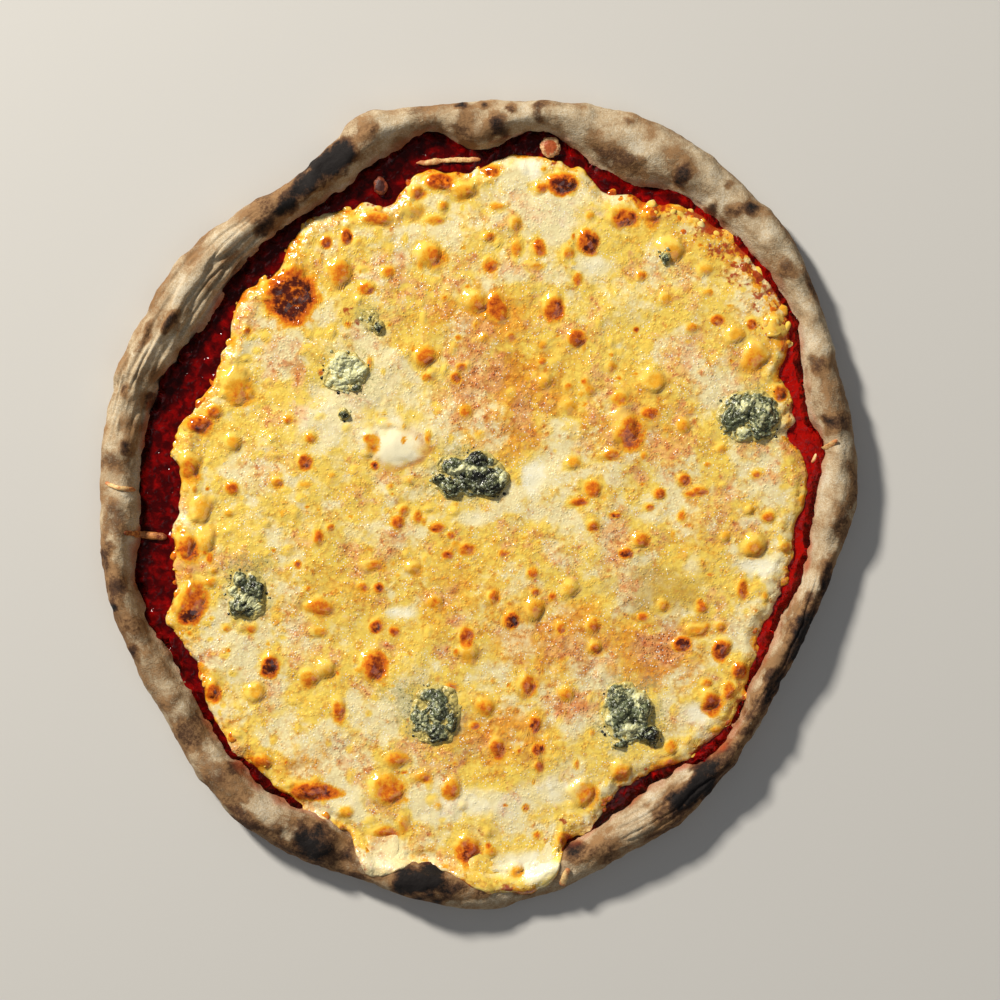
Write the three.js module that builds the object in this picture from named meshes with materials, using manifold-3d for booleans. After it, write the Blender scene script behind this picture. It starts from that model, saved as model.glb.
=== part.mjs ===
// A four cheese pizza from a hot stone oven: a puffed and scorched rim round a thin base, tomato sauce
// that shows as a ring, a blistered blanket of melted cheese, lumps of blue cheese and stray shreds.
// Millimetres, +Z up, underside on Z = 0. Angles are degrees anticlockwise from +X, seen from above.
import * as THREE from "three";
import { ImprovedNoise } from "three/addons/math/ImprovedNoise.js";
import { mergeVertices } from "three/addons/utils/BufferGeometryUtils.js";
import Module from "manifold-3d";

const { degToRad, radToDeg, euclideanModulo, lerp, smoothstep } = THREE.MathUtils;
const wasm = await Module();
wasm.setup();

// ---- Driving dimensions -------------------------------------------------------------------------

const GAP = 0.3; // air between pieces that touch
const SEGMENTS = 120; // steps round the rim
const BASE_THICKNESS = 3;
const RIM_HEIGHT = 14.5; // mean height of the rim
const RIM_CORE = 0.45; // a section's middle, as a share of its width from outside and of its height
const FOOT_RUN = 3; // how far the rim's inner foot runs in under the sauce
const SAUCE_LEVEL = 4.9; // top of the sauce under the cheese
const SAUCE_LIP = 5.8; // height at which the sauce laps the rim
const SAUCE_SHOULDER = 1; // width of the slope where the sauce laps the rim
const SAUCE_PULP = 0.4; // height of the pulp in the sauce that shows
const PULP_SIZE = 5;
const SHORE = 1.5; // how far in under the cheese the pulp reaches
const SHORE_RUN = 3; // least width of the pulp
const CHEESE_BOTTOM = 5.3;
const CHEESE_THICKNESS = 2.7;
const CHEESE_EDGE = 1.1; // thickness of the blanket at its edge
const CHEESE_TAPER = 9; // width of the thin margin
const CHEESE_SHY = 2.2; // how far the blanket stays from the rim
const GRID = 9.5; // mesh size of the blanket's top
const LUMP_FLOOR = 0.8; // cheese left under a lump
const BLISTER_FLOOR = 0.4; // cheese left under a blister
const BLANKET_REACH = 168; // half side of the square that the blanket is cut from
const CUTTER_HEIGHT = 20; // of the outline that cuts it, more than its own
const SAME_PLACE = 1e-4; // vertices closer than this are one

// The rim's outer edge, its inner edge at the sauce, and the edge of the cheese: [angle, radius].
const RIM_EDGE = [
  [0, 151.6], [20, 154.4], [30, 159.2], [40, 164.8], [50, 166.8], [60, 169.2], [70, 168],
  [80, 164.4], [90, 162], [100, 161.6], [106.5, 164], [112, 156], [119, 150.4], [130, 152.4],
  [144, 155.4], [150, 154], [158, 154.8], [170, 153.6], [180, 151.4], [190, 152.4], [205, 152],
  [215, 152], [225, 156.8], [235, 159.2], [250, 158], [260, 159.2], [270, 162.4], [280, 158.8],
  [290, 153.2], [300, 151.6], [315, 146], [330, 141.2], [345, 143.2], [352, 146.4],
];
const SAUCE_EDGE = [
  [0, 134], [10, 140], [15, 137.6], [25, 142], [30, 147.6], [45, 148.8], [60, 147.2], [65, 142.4],
  [72, 144.4], [78, 151], [84, 148], [91, 140.8], [96, 149.6], [105, 145.2], [113, 137.6],
  [130, 134.8], [147, 132], [163, 136.8], [175, 135.2], [183, 135.2], [190, 140], [200, 139.2],
  [210, 136], [220, 139.2], [235, 142], [245, 139.2], [255, 144], [265, 143.5], [275, 146],
  [285, 141], [295, 134], [305, 132], [316, 137], [328, 130], [340, 130], [352, 134],
];
const CHEESE_OUTLINE = [
  [0, 130], [6, 132.8], [13, 128.8], [19, 134], [23, 130], [30, 140], [50, 142], [60, 138],
  [68, 136], [80, 142], [90, 136], [99, 136], [106, 126], [113, 129], [120, 134], [130, 124.8],
  [139, 127.2], [148, 120], [156, 117.5], [163, 122], [170, 124.8], [175, 120], [185, 123],
  [194, 125], [200, 134], [208, 130.5], [220, 138], [240, 140], [262, 143], [286, 140], [295, 130],
  [305, 130], [315, 134], [330, 128], [340, 125.2], [350, 127.2],
];

// Across the rim: [share of its width in from the outer edge, share of its height].
const RIM_PROFILE = [
  [0.34, 0], [0.12, 0.12], [0.02, 0.32], [0, 0.5], [0.05, 0.7], [0.17, 0.87], [0.34, 0.97],
  [0.5, 1], [0.66, 0.94], [0.8, 0.78], [0.92, 0.56],
];
const OUTER_WALL = 3; // stations up to this one are the outer wall and the underside
// Bubbles, dips and creases in the rim: [angle, half width in degrees, lift].
const RIM_SWELLS = [
  [12, 7, 1.5], [41, 5, 2.2], [60, 7, 1.4], [72, 3, -1.2], [88, 8, 1.8], [106, 3, 2.4], [113, 3, -2.6],
  [135, 9, 1.2], [158, 4, 2.6], [176, 3, -1.6], [196, 8, 1], [219, 4, -1.4], [236, 7, 2],
  [250, 1.6, -4.2], [254, 2.5, -3.4], [262, 4, 2], [276, 6, -5.8], [285, 1.6, -1.6], [300, 8, 1.6],
  [318, 3, -1.2], [336, 8, 1.2], [353, 2, -2.4],
];
// Waves of the rim's height round the pizza, with sizes as shares of its radius, and of the blanket's
// top in millimetres. The slice picks the noise's pattern.
const RIM_WAVES = [
  { height: 2.2, size: 0.45, slice: 3.7 },
  { height: 1.2, size: 0.17, slice: 8.1 },
];
const BLANKET_WAVES = [
  { height: 1.1, size: 27, slice: 1.3 },
  { height: 0.7, size: 10, slice: 6.2 },
];
const PULP_SLICE = 2.4;
const CRAG = 0.9; // depth of the crags in the rim
const CRAG_SIZE = 8;
// A long wrinkle along the rim's inside, at one station of the profile, between two angles.
const CREASE = { from: 126, to: 168, fade: 8, station: 8, depth: 1.1 };

// Blisters in the cheese, largest where the real ones are: [x, y, half length in x, half length in y].
const BLISTERS = [
  [-77, 89, 9, 9.5], [-56, 93, 5, 5], [-20, 101, 5.5, 5], [-2, 82, 5, 5], [7, 81, 3.5, 5],
  [-16, 130, 5.5, 3.2], [-5, 127, 5, 4.5], [34, 130, 6, 4], [46, 135, 5.5, 3], [44, 106, 4, 4.5],
  [56, 116, 5.5, 3.6], [69, 119, 4, 5.5], [30, 81, 4, 5], [78, 103, 6, 5], [-98, 49, 7, 7],
  [-106, 38, 3.6, 3.2], [-116, 17, 5, 5], [-98, 25, 3.6, 3.6], [-22, 59, 4.4, 4], [-34, 25, 7, 5.6],
  [-43, 26, 3.2, 4.4], [39, 67, 3.6, 3.6], [71, 49, 5, 5], [59, 32, 5.5, 8], [119, 71, 5, 5],
  [111, 60, 5.5, 5.5], [103, 68, 3.6, 3.2], [-111, -1, 4, 6], [-118, -16, 5, 5.5], [-109, -14, 4, 5.5],
  [-116, -38, 6, 7], [-63, -41, 5, 3.6], [-84, -63, 3.6, 4], [-43, -65, 5, 6.5], [-4, -59, 5, 4],
  [-61, -65, 5, 4], [-17, -39, 3.6, 3.2], [22, -41, 4.4, 4.4], [37, -33, 3.6, 4], [111, -16, 5.2, 4.8],
  [-90, -75, 3.6, 3.6], [-86, -103, 4.5, 3.2], [-71, -115, 10, 3.6], [-56, -81, 3, 5],
  [-33, -102, 5, 3.2], [-38, -115, 7, 7], [-11, -113, 3.2, 4.4], [-39, -131, 5.6, 3], [-4, -137, 5, 5],
  [3, -80, 4, 3.6], [8, -96, 3.2, 4.4], [19, -71, 3.2, 4.4], [42, -115, 5.2, 5.2], [57, -106, 4, 4.4],
  [92, -78, 4.4, 5], [97, -57, 3.6, 4], [105, -66, 3.2, 3.2],
];
const LARGE_BLISTER = 5.8; // half length from which a blister is worked finer
const BLISTER_RISE = 0.5; // height of a blister as a share of its half width
const BLISTER_LEAST = 0.9; // height that even a small blister has
const BLISTER_SUNK = 0.3;
const BLISTER_CRAG = 0.12;
// Tongues of cheese that ran over the low places of the rim: [angle, radius, half length, half width].
const SPILLS = [
  [254, 146, 5, 8], [264, 142, 8, 5], [271, 146, 13, 9], [273, 152, 11, 6], [279, 150, 9, 8],
];
const SPILL_THICKNESS = 3.2; // half of it stands above the seat
const SPILL_CRAG = 0.1;

// Lumps of blue cheese: [x, y, half length in x, half length in y, height above the blanket].
const BLUE_LUMPS = [
  [-2, 12.5, 14.5, 10, 4], [109, 36, 11.5, 9.5, 4], [-92, -36, 8, 10, 3.6], [-18, -84, 10, 12.5, 3.4],
  [61, -84, 12, 13.5, 3.6], [-53, 53, 9, 8.5, 3], [-42, 73, 3.6, 5, 2], [-54, 36, 2.6, 2.6, 1.8],
  [76, 99, 2.2, 3, 1.8],
];
const BIG_LUMP = 6; // half length from which a lump is worked finer
const LUMP_DEPTH = 3.2; // a lump's half height, part of it sunk in the blanket
const LUMP_STAND = 1; // least height of a lump's middle over its floor
const LUMP_CRAG = 0.55;
const SKIN_SIZE = 0.83; // size of the unevenness of a lump's skin, in its radii

// Shreds and crumbs that lie on the rim and the sauce, by the points of their middle lines.
const SHREDS = [
  { name: "cheese_shred_top", width: 2.8, height: 1.6, path: [[-25, 137.5], [-12, 138.6], [1, 139]] },
  { name: "cheese_shred_right", width: 2.2, height: 1.4, path: [[134, 17], [138, 22], [143, 26]] },
  {
    name: "cheese_shred_bottom", width: 2.8, height: 1.6,
    path: [[36, -145], [34.5, -149.5], [33.5, -152.5]],
  },
  { name: "cheese_strand_left", width: 3, height: 1.8, path: [[-125, -13], [-133, -12], [-141, -11]] },
  { name: "cheese_drip_left", width: 2, height: 1.2, path: [[-137, 6], [-144, 7], [-149, 9]] },
];
const SHRED_SIDES = 6;
const SHRED_STEPS = 6;
const SHRED_TAPER = 0.08; // share of the tapering ends that is cut off
const CRUMBS = [
  { name: "cheese_crumb_top", at: [29, 144], half: [4.8, 4.8, 1.8], finish: "toasted" },
  { name: "baked_crumb_top_left", at: [-39, 128], half: [3.2, 3.6, 1.6], finish: "baked" },
];
const CRUMB_SEAT = 0.7; // height of a crumb's middle over what it lies on, in its half heights
const CRUMB_CRAG = 0.3;

const FINISH = {
  dough: { color: 0xc9bfa6, roughness: 0.85 },
  sauce: { color: 0x8e130d, roughness: 0.35 },
  melted: { color: 0xeac765, roughness: 0.42 },
  blue: { color: 0x5c6a55, roughness: 0.55 },
  shred: { color: 0xd9b871, roughness: 0.5 },
  toasted: { color: 0xa5662f, roughness: 0.5 },
  baked: { color: 0x6e2a14, roughness: 0.6 },
};

// ---- Outlines and heights -------------------------------------------------------------------------

const perlin = new ImprovedNoise();
const ripple = (x, y, z, size) => perlin.noise(x / size, y / size, z / size);
const addWaves = (level, waves, x, y) =>
  waves.reduce((sum, { height, size, slice }) => sum + height * ripple(x, y, slice, size), level);

// A closed smooth outline through [angle, radius] pairs, as a function of the angle.
function outline(pairs) {
  const pair = (i) => {
    const turn = Math.floor(i / pairs.length);
    const [angle, radius] = pairs[i - turn * pairs.length];
    return [angle + 360 * turn, radius];
  };
  return (degrees) => {
    const angle = euclideanModulo(degrees, 360);
    const i = pairs.findLastIndex(([start]) => start <= angle);
    const [[a0, r0], [a1, r1], [a2, r2], [a3, r3]] = [i - 1, i, i + 1, i + 2].map(pair);
    const run = a2 - a1;
    const t = (angle - a1) / run;
    const leave = ((r2 - r0) / (a2 - a0)) * run;
    const arrive = ((r3 - r1) / (a3 - a1)) * run;
    const bend = t * (1 - t);
    return lerp(r1, r2, t * t * (3 - 2 * t)) + bend * ((1 - t) * leave - t * arrive);
  };
}

const rimEdge = outline(RIM_EDGE);
const sauceEdge = outline(SAUCE_EDGE);
const cheeseOutline = outline(CHEESE_OUTLINE);
const cheeseEdge = (angle) => Math.min(cheeseOutline(angle), sauceEdge(angle) - CHEESE_SHY);

// Difference of two angles, between -180 and 180 degrees.
const turnBetween = (a, b) => euclideanModulo(a - b + 180, 360) - 180;

function rimHeight(angle) {
  const cos = Math.cos(degToRad(angle));
  const sin = Math.sin(degToRad(angle));
  const waves = addWaves(0, RIM_WAVES, cos, sin);
  const swells = RIM_SWELLS.reduce(
    (sum, [at, half, lift]) => sum + lift * Math.exp(-((turnBetween(angle, at) / half) ** 2)),
    0,
  );
  return RIM_HEIGHT + waves + swells;
}

function rimCrag(x, y, z) {
  const coarse = CRAG * ripple(x, y, z, CRAG_SIZE);
  const fine = 0.5 * CRAG * ripple(x, y, z, CRAG_SIZE / 2);
  return coarse + fine;
}

function creaseDepth(angle) {
  const begun = smoothstep(angle, CREASE.from, CREASE.from + CREASE.fade);
  const ended = smoothstep(angle, CREASE.to - CREASE.fade, CREASE.to);
  return CREASE.depth * begun * (1 - ended);
}

// The rim's section at an angle, from its underside over the top to its inner foot, as [radius, z].
function rimSection(angle) {
  const outer = rimEdge(angle);
  const width = outer - sauceEdge(angle);
  const height = rimHeight(angle);
  const core = new THREE.Vector2(outer - RIM_CORE * width, RIM_CORE * height);
  const section = RIM_PROFILE.map(([inset, rise], station) => {
    const point = new THREE.Vector2(outer - inset * width, rise * height);
    const x = point.x * Math.cos(degToRad(angle));
    const y = point.x * Math.sin(degToRad(angle));
    const crease = station === CREASE.station ? creaseDepth(angle) : 0;
    const out = point.clone().sub(core).normalize();
    if (rise > 0) point.addScaledVector(out, rimCrag(x, y, point.y) - crease);
    return [point.x, point.y];
  });
  return [...section, [outer - width, SAUCE_LIP], [outer - width - FOOT_RUN, BASE_THICKNESS]];
}

// Height of the rim's upper surface at a point, or of the base inside the rim.
function doughTop(x, y) {
  const radius = Math.hypot(x, y);
  const section = rimSection(radToDeg(Math.atan2(y, x)));
  for (let i = section.length - 1; i > OUTER_WALL; i--) {
    const [r0, z0] = section[i];
    const [r1, z1] = section[i - 1];
    if (radius <= r1) return radius <= r0 ? z0 : lerp(z0, z1, (radius - r0) / (r1 - r0));
  }
  return 0;
}

function blanketTop(x, y) {
  const inside = cheeseEdge(radToDeg(Math.atan2(y, x))) - Math.hypot(x, y);
  const full = addWaves(CHEESE_THICKNESS, BLANKET_WAVES, x, y);
  return CHEESE_BOTTOM + lerp(CHEESE_EDGE, full, smoothstep(inside, 0, CHEESE_TAPER));
}

// Height of whatever lies on top at a point.
function surfaceTop(x, y) {
  const angle = radToDeg(Math.atan2(y, x));
  const radius = Math.hypot(x, y);
  if (radius < cheeseEdge(angle)) return blanketTop(x, y);
  return radius < sauceEdge(angle) - SAUCE_SHOULDER ? SAUCE_LEVEL + SAUCE_PULP : doughTop(x, y);
}

// ---- Meshes and solids ------------------------------------------------------------------------------

function geometryOf(vertices, faces) {
  const geometry = new THREE.BufferGeometry();
  geometry.setAttribute("position", new THREE.Float32BufferAttribute(vertices.flat(), 3));
  geometry.setIndex(faces.flat());
  return geometry;
}

function toSolid(geometry) {
  const bare = geometry.clone();
  bare.deleteAttribute("normal");
  bare.deleteAttribute("uv");
  const merged = mergeVertices(bare, SAME_PLACE);
  const mesh = new wasm.Mesh({
    numProp: 3,
    vertProperties: merged.attributes.position.array,
    triVerts: new Uint32Array(merged.index.array),
  });
  return new wasm.Manifold(mesh);
}

function toGeometry(solid) {
  const mesh = solid.getMesh();
  const geometry = new THREE.BufferGeometry();
  geometry.setAttribute("position", new THREE.BufferAttribute(mesh.vertProperties, mesh.numProp));
  geometry.setIndex(new THREE.BufferAttribute(mesh.triVerts, 1));
  return geometry;
}

// The largest body of a solid, without the scraps that a cut can leave.
const mainBody = (solid) => solid.decompose().reduce((a, b) => (b.volume() > a.volume() ? b : a));

const clear = (solid, others) => mainBody(others.reduce((left, other) => left.subtract(other), solid));

// A closed body from rings of equal length, each ending in a fan to a point of its own height.
// The rings run from the underside, out and over the top to the middle.
function ringBody(rings, bottomZ, topZ) {
  const count = rings[0].length;
  const vertices = [...rings.flat(), [0, 0, bottomZ], [0, 0, topZ]];
  const bottom = vertices.length - 2;
  const top = vertices.length - 1;
  const faces = [];
  for (let i = 0; i < count; i++) {
    const next = (i + 1) % count;
    faces.push([bottom, next, i]);
    for (let ring = 0; ring + 1 < rings.length; ring++) {
      const low = ring * count;
      const high = low + count;
      faces.push([low + i, low + next, high + next], [low + i, high + next, high + i]);
    }
    const last = (rings.length - 1) * count;
    faces.push([top, last + i, last + next]);
  }
  return geometryOf(vertices, faces);
}

// The angles of the steps round the pizza.
const STEP_ANGLES = Array.from({ length: SEGMENTS }, (_, i) => (360 * i) / SEGMENTS);

// Sections, one at each step round the pizza, as rings of points.
function ringsFrom(sectionAt) {
  const sections = STEP_ANGLES.map((angle) => {
    const cos = Math.cos(degToRad(angle));
    const sin = Math.sin(degToRad(angle));
    return sectionAt(angle).map(([radius, z]) => [radius * cos, radius * sin, z]);
  });
  return sections[0].map((_, station) => sections.map((section) => section[station]));
}

// Balls of unit radius that lumps and blisters are shaped from.
const BALL = {
  coarse: new THREE.SphereGeometry(1, 7, 4).rotateX(Math.PI / 2),
  plain: new THREE.IcosahedronGeometry(1, 1),
  fine: new THREE.IcosahedronGeometry(1, 2),
};

// A rounded lump with an uneven skin, flat below its floor. A larger `grow` gives its pocket.
function lump({ x, y, z, half, crag, ball, floor, grow = 0 }) {
  const [rx, ry, rz] = half;
  const scale = 1 + grow / Math.min(rx, ry, rz);
  const geometry = ball.clone();
  const position = geometry.attributes.position;
  const point = new THREE.Vector3();
  for (let i = 0; i < position.count; i++) {
    point.fromBufferAttribute(position, i);
    const uneven = 1 + crag * ripple(point.x + x, point.y + y, point.z, SKIN_SIZE);
    point.multiplyScalar(uneven);
    point.set(point.x * rx, point.y * ry, Math.max(point.z * rz, floor - z)).multiplyScalar(scale);
    position.setXYZ(i, x + point.x, y + point.y, z + point.z);
  }
  return toSolid(geometry);
}

// A flattened shred along a smooth line on the surface below it.
function shred({ path, width, height }) {
  const line = new THREE.CatmullRomCurve3(path.map(([x, y]) => new THREE.Vector3(x, y, 0)));
  const corners = Array.from({ length: SHRED_SIDES }, (_, i) => (2 * Math.PI * i) / SHRED_SIDES);
  const vertices = [];
  const faces = [];
  for (let step = 0; step <= SHRED_STEPS; step++) {
    const t = step / SHRED_STEPS;
    const point = line.getPoint(t);
    const along = line.getTangent(t);
    const full = Math.sqrt(Math.sin(Math.PI * lerp(SHRED_TAPER, 1 - SHRED_TAPER, t)));
    const z = surfaceTop(point.x, point.y) + GAP + height / 2;
    for (const corner of corners) {
      const side = 0.5 * width * full * Math.cos(corner);
      const rise = 0.5 * height * full * Math.sin(corner);
      vertices.push([point.x + along.y * side, point.y - along.x * side, z + rise]);
    }
    if (step === SHRED_STEPS) break;
    corners.forEach((_, i) => {
      const a = step * SHRED_SIDES + i;
      const b = step * SHRED_SIDES + ((i + 1) % SHRED_SIDES);
      faces.push([a, a + SHRED_SIDES, b + SHRED_SIDES], [a, b + SHRED_SIDES, b]);
    });
  }
  const end = SHRED_STEPS * SHRED_SIDES;
  for (let i = 1; i + 1 < SHRED_SIDES; i++) faces.push([0, i, i + 1], [end, end + i + 1, end + i]);
  return toSolid(geometryOf(vertices, faces));
}

// ---- Pieces -------------------------------------------------------------------------------------------

function crust() {
  return ringBody(ringsFrom(rimSection), 0, BASE_THICKNESS);
}

// The sauce covers the base. Its foot follows the rim's, and what shows outside the cheese is pulpy.
function sauce() {
  const shy = GAP * Math.SQRT2;
  const section = (angle) => {
    const edge = sauceEdge(angle) - shy;
    const shore = Math.min(cheeseEdge(angle) - SHORE, edge - SHORE_RUN);
    const middle = (edge + shore) / 2;
    const x = middle * Math.cos(degToRad(angle));
    const y = middle * Math.sin(degToRad(angle));
    const pulp = SAUCE_PULP * ripple(x, y, PULP_SLICE, PULP_SIZE);
    const base = BASE_THICKNESS + GAP;
    return [
      [edge - FOOT_RUN + GAP, base],
      [edge, SAUCE_LIP],
      [middle, SAUCE_LEVEL - SAUCE_PULP / 2 + pulp],
      [shore, SAUCE_LEVEL],
    ];
  };
  return ringBody(ringsFrom(section), BASE_THICKNESS + GAP, SAUCE_LEVEL);
}

// The blanket before its blisters: a sheet with an undulating top, on a square mesh.
function blanketBlock() {
  const last = 2 * Math.ceil(BLANKET_REACH / GRID);
  const count = last + 1;
  const at = (i) => (i - last / 2) * GRID;
  const vertices = [];
  for (let row = 0; row < count; row++)
    for (let col = 0; col < count; col++)
      vertices.push([at(col), at(row), blanketTop(at(col), at(row))]);
  const faces = [];
  for (let row = 0; row + 1 < count; row++)
    for (let col = 0; col + 1 < count; col++) {
      const a = row * count + col;
      const c = a + count;
      if ((row + col) % 2) faces.push([a, a + 1, c + 1], [a, c + 1, c]);
      else faces.push([a, a + 1, c], [a + 1, c + 1, c]);
    }
  const sides = [
    (i) => i,
    (i) => last + i * count,
    (i) => last * count + last - i,
    (i) => (last - i) * count,
  ];
  const foot = vertices.length;
  for (const side of sides) {
    const [x, y] = vertices[side(0)];
    vertices.push([x, y, CHEESE_BOTTOM]);
  }
  sides.forEach((side, k) => {
    const here = foot + k;
    const next = foot + ((k + 1) % 4);
    for (let i = 0; i < last; i++) faces.push([here, side(i + 1), side(i)]);
    faces.push([here, next, side(last)]);
  });
  faces.push([foot, foot + 2, foot + 1], [foot, foot + 3, foot + 2]);
  return toSolid(geometryOf(vertices, faces));
}

// The blanket's outline, as a prism that cuts it out of the sheet.
function blanketPrism() {
  const centre = new THREE.Vector2();
  const points = STEP_ANGLES.map((angle) =>
    new THREE.Vector2(cheeseEdge(angle), 0).rotateAround(centre, degToRad(angle)),
  );
  const settings = { depth: CUTTER_HEIGHT, bevelEnabled: false };
  return toSolid(new THREE.ExtrudeGeometry(new THREE.Shape(points), settings));
}

function blister([x, y, rx, ry]) {
  const half = [rx, ry, BLISTER_RISE * Math.min(rx, ry) + BLISTER_LEAST];
  const z = Math.max(blanketTop(x, y), doughTop(x, y)) - BLISTER_SUNK;
  const ball = Math.max(rx, ry) < LARGE_BLISTER ? BALL.coarse : BALL.plain;
  return lump({ x, y, z, half, crag: BLISTER_CRAG, ball, floor: CHEESE_BOTTOM + BLISTER_FLOOR });
}

function spill([angle, radius, rx, ry]) {
  const x = radius * Math.cos(degToRad(angle));
  const y = radius * Math.sin(degToRad(angle));
  const z = Math.max(doughTop(x, y), blanketTop(x, y));
  const half = [rx, ry, SPILL_THICKNESS];
  return lump({ x, y, z, half, crag: SPILL_CRAG, ball: BALL.plain, floor: CHEESE_BOTTOM + BLISTER_FLOOR });
}

function blueLump([x, y, rx, ry, rise], grow) {
  const floor = CHEESE_BOTTOM + LUMP_FLOOR;
  const z = Math.max(blanketTop(x, y) + rise - LUMP_DEPTH, floor + LUMP_STAND);
  const ball = Math.max(rx, ry) > BIG_LUMP ? BALL.fine : BALL.coarse;
  return lump({ x, y, z, half: [rx, ry, LUMP_DEPTH], crag: LUMP_CRAG, ball, floor, grow });
}

function blanket(below) {
  let solid = blanketBlock().intersect(blanketPrism());
  for (const place of BLISTERS) solid = solid.add(blister(place));
  for (const place of SPILLS) solid = solid.add(spill(place));
  return clear(solid, [...below, ...BLUE_LUMPS.map((place) => blueLump(place, GAP))]);
}

// ---- The pizza ------------------------------------------------------------------------------------------

const pizza = new THREE.Group();
const served = new THREE.Group().add(pizza);

function addPiece(name, geometry, finish) {
  geometry.computeVertexNormals();
  const material = new THREE.MeshStandardMaterial({ ...finish, metalness: 0 });
  const mesh = new THREE.Mesh(geometry, material);
  mesh.name = name;
  pizza.add(mesh);
  return mesh;
}

// What a piece that lies on another is cut with: the other, and the same lifted by the gap.
const under = (geometry) => [toSolid(geometry), toSolid(geometry.clone().translate(0, 0, GAP))];

const crustGeometry = crust();
const sauceGeometry = sauce();
const doughAndSauce = [...under(crustGeometry), ...under(sauceGeometry)];
const blanketGeometry = toGeometry(blanket(doughAndSauce));
const everything = [...doughAndSauce, ...under(blanketGeometry)];
addPiece("crust", crustGeometry, FINISH.dough);
addPiece("tomato_sauce", sauceGeometry, FINISH.sauce);
addPiece("cheese_blanket", blanketGeometry, FINISH.melted);
BLUE_LUMPS.forEach((place, i) => {
  addPiece(`blue_cheese_${i + 1}`, toGeometry(blueLump(place, 0)), FINISH.blue);
});
for (const strip of SHREDS) {
  const finish = strip.name.includes("strand") ? FINISH.toasted : FINISH.shred;
  addPiece(strip.name, toGeometry(clear(shred(strip), everything)), finish);
}
for (const { name, at: [x, y], half, finish } of CRUMBS) {
  const floor = surfaceTop(x, y) + GAP;
  const z = floor + CRUMB_SEAT * half[2];
  const solid = lump({ x, y, z, half, crag: CRUMB_CRAG, ball: BALL.coarse, floor });
  addPiece(name, toGeometry(clear(solid, everything)), FINISH[finish]);
}

const middle = new THREE.Box3().setFromObject(pizza).getCenter(new THREE.Vector3());
pizza.position.set(-middle.x, -middle.y, 0);

export default served;
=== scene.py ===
"""A four cheese pizza from a hot stone oven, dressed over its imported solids.

The rim is puffed, floured and scorched, tomato sauce shows as a wet ring inside it, and a blanket of
melted cheese carries browned blisters, lumps of blue cheese and stray shreds. Work is in millimetres
and turned into metres as a mesh is written. Places read off the photograph are pixels of its
1000 by 1000 frame, and angles run anticlockwise from +X round the middle of the pizza.
"""

import logging
import math
from dataclasses import dataclass, field
from enum import Enum
from typing import Any, Callable, Iterable, Sequence

import bpy
import numpy as np
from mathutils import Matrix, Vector

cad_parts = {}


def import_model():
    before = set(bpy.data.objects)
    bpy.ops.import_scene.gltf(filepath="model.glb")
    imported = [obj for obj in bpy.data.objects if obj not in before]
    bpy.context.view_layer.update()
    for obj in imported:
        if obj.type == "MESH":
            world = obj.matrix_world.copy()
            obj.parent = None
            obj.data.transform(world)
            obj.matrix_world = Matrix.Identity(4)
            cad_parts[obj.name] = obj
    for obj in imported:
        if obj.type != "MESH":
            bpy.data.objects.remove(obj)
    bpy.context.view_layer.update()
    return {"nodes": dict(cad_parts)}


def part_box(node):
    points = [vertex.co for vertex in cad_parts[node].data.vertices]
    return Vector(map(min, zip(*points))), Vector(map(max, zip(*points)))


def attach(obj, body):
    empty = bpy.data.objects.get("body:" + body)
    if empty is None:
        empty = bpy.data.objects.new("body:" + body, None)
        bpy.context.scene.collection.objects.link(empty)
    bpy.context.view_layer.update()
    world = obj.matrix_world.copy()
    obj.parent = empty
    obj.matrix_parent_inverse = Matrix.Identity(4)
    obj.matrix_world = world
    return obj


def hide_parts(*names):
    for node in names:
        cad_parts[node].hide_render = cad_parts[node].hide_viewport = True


Array = np.ndarray
Colour = tuple[float, float, float, float]
Span = tuple[float, float]
log = logging.getLogger("pizza")

MM = 0.001
BODY = "root"
PIXEL = 0.4  # millimetres of pizza in a pixel of the photograph
PHOTO_MIDDLE = (478.33, 505.37)  # pixel of the origin

# The edge of the melted cheese: (angle, radius in pixels).
CHEESE_EDGE = [
    (0, 325), (5, 332), (10, 325), (13, 322), (15, 330), (20, 335), (23, 327), (27, 351), (31, 364),
    (38, 370), (45, 371), (51, 369), (56, 363), (60, 352), (65, 346), (68, 340), (73, 352), (80, 355),
    (85, 350), (90, 340), (95, 336), (100, 340), (103, 330), (106, 315), (110, 320), (115, 325),
    (120, 335), (125, 325), (130, 312), (135, 315), (140, 318), (145, 305), (150, 298), (155, 293),
    (160, 298), (165, 310), (170, 312), (173, 302), (180, 303), (185, 308), (190, 312), (196, 316),
    (200, 335), (205, 330), (210, 325), (215, 335), (220, 345), (230, 349), (240, 351), (248, 354),
    (251, 372), (254, 386), (257, 377), (259, 365), (263, 362), (266, 368), (269, 384), (273, 391),
    (278, 391), (282, 378), (285, 350), (290, 345), (295, 325), (300, 320), (305, 325), (310, 333),
    (320, 335), (330, 320), (340, 313), (345, 318), (350, 318), (355, 322),
]

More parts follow.
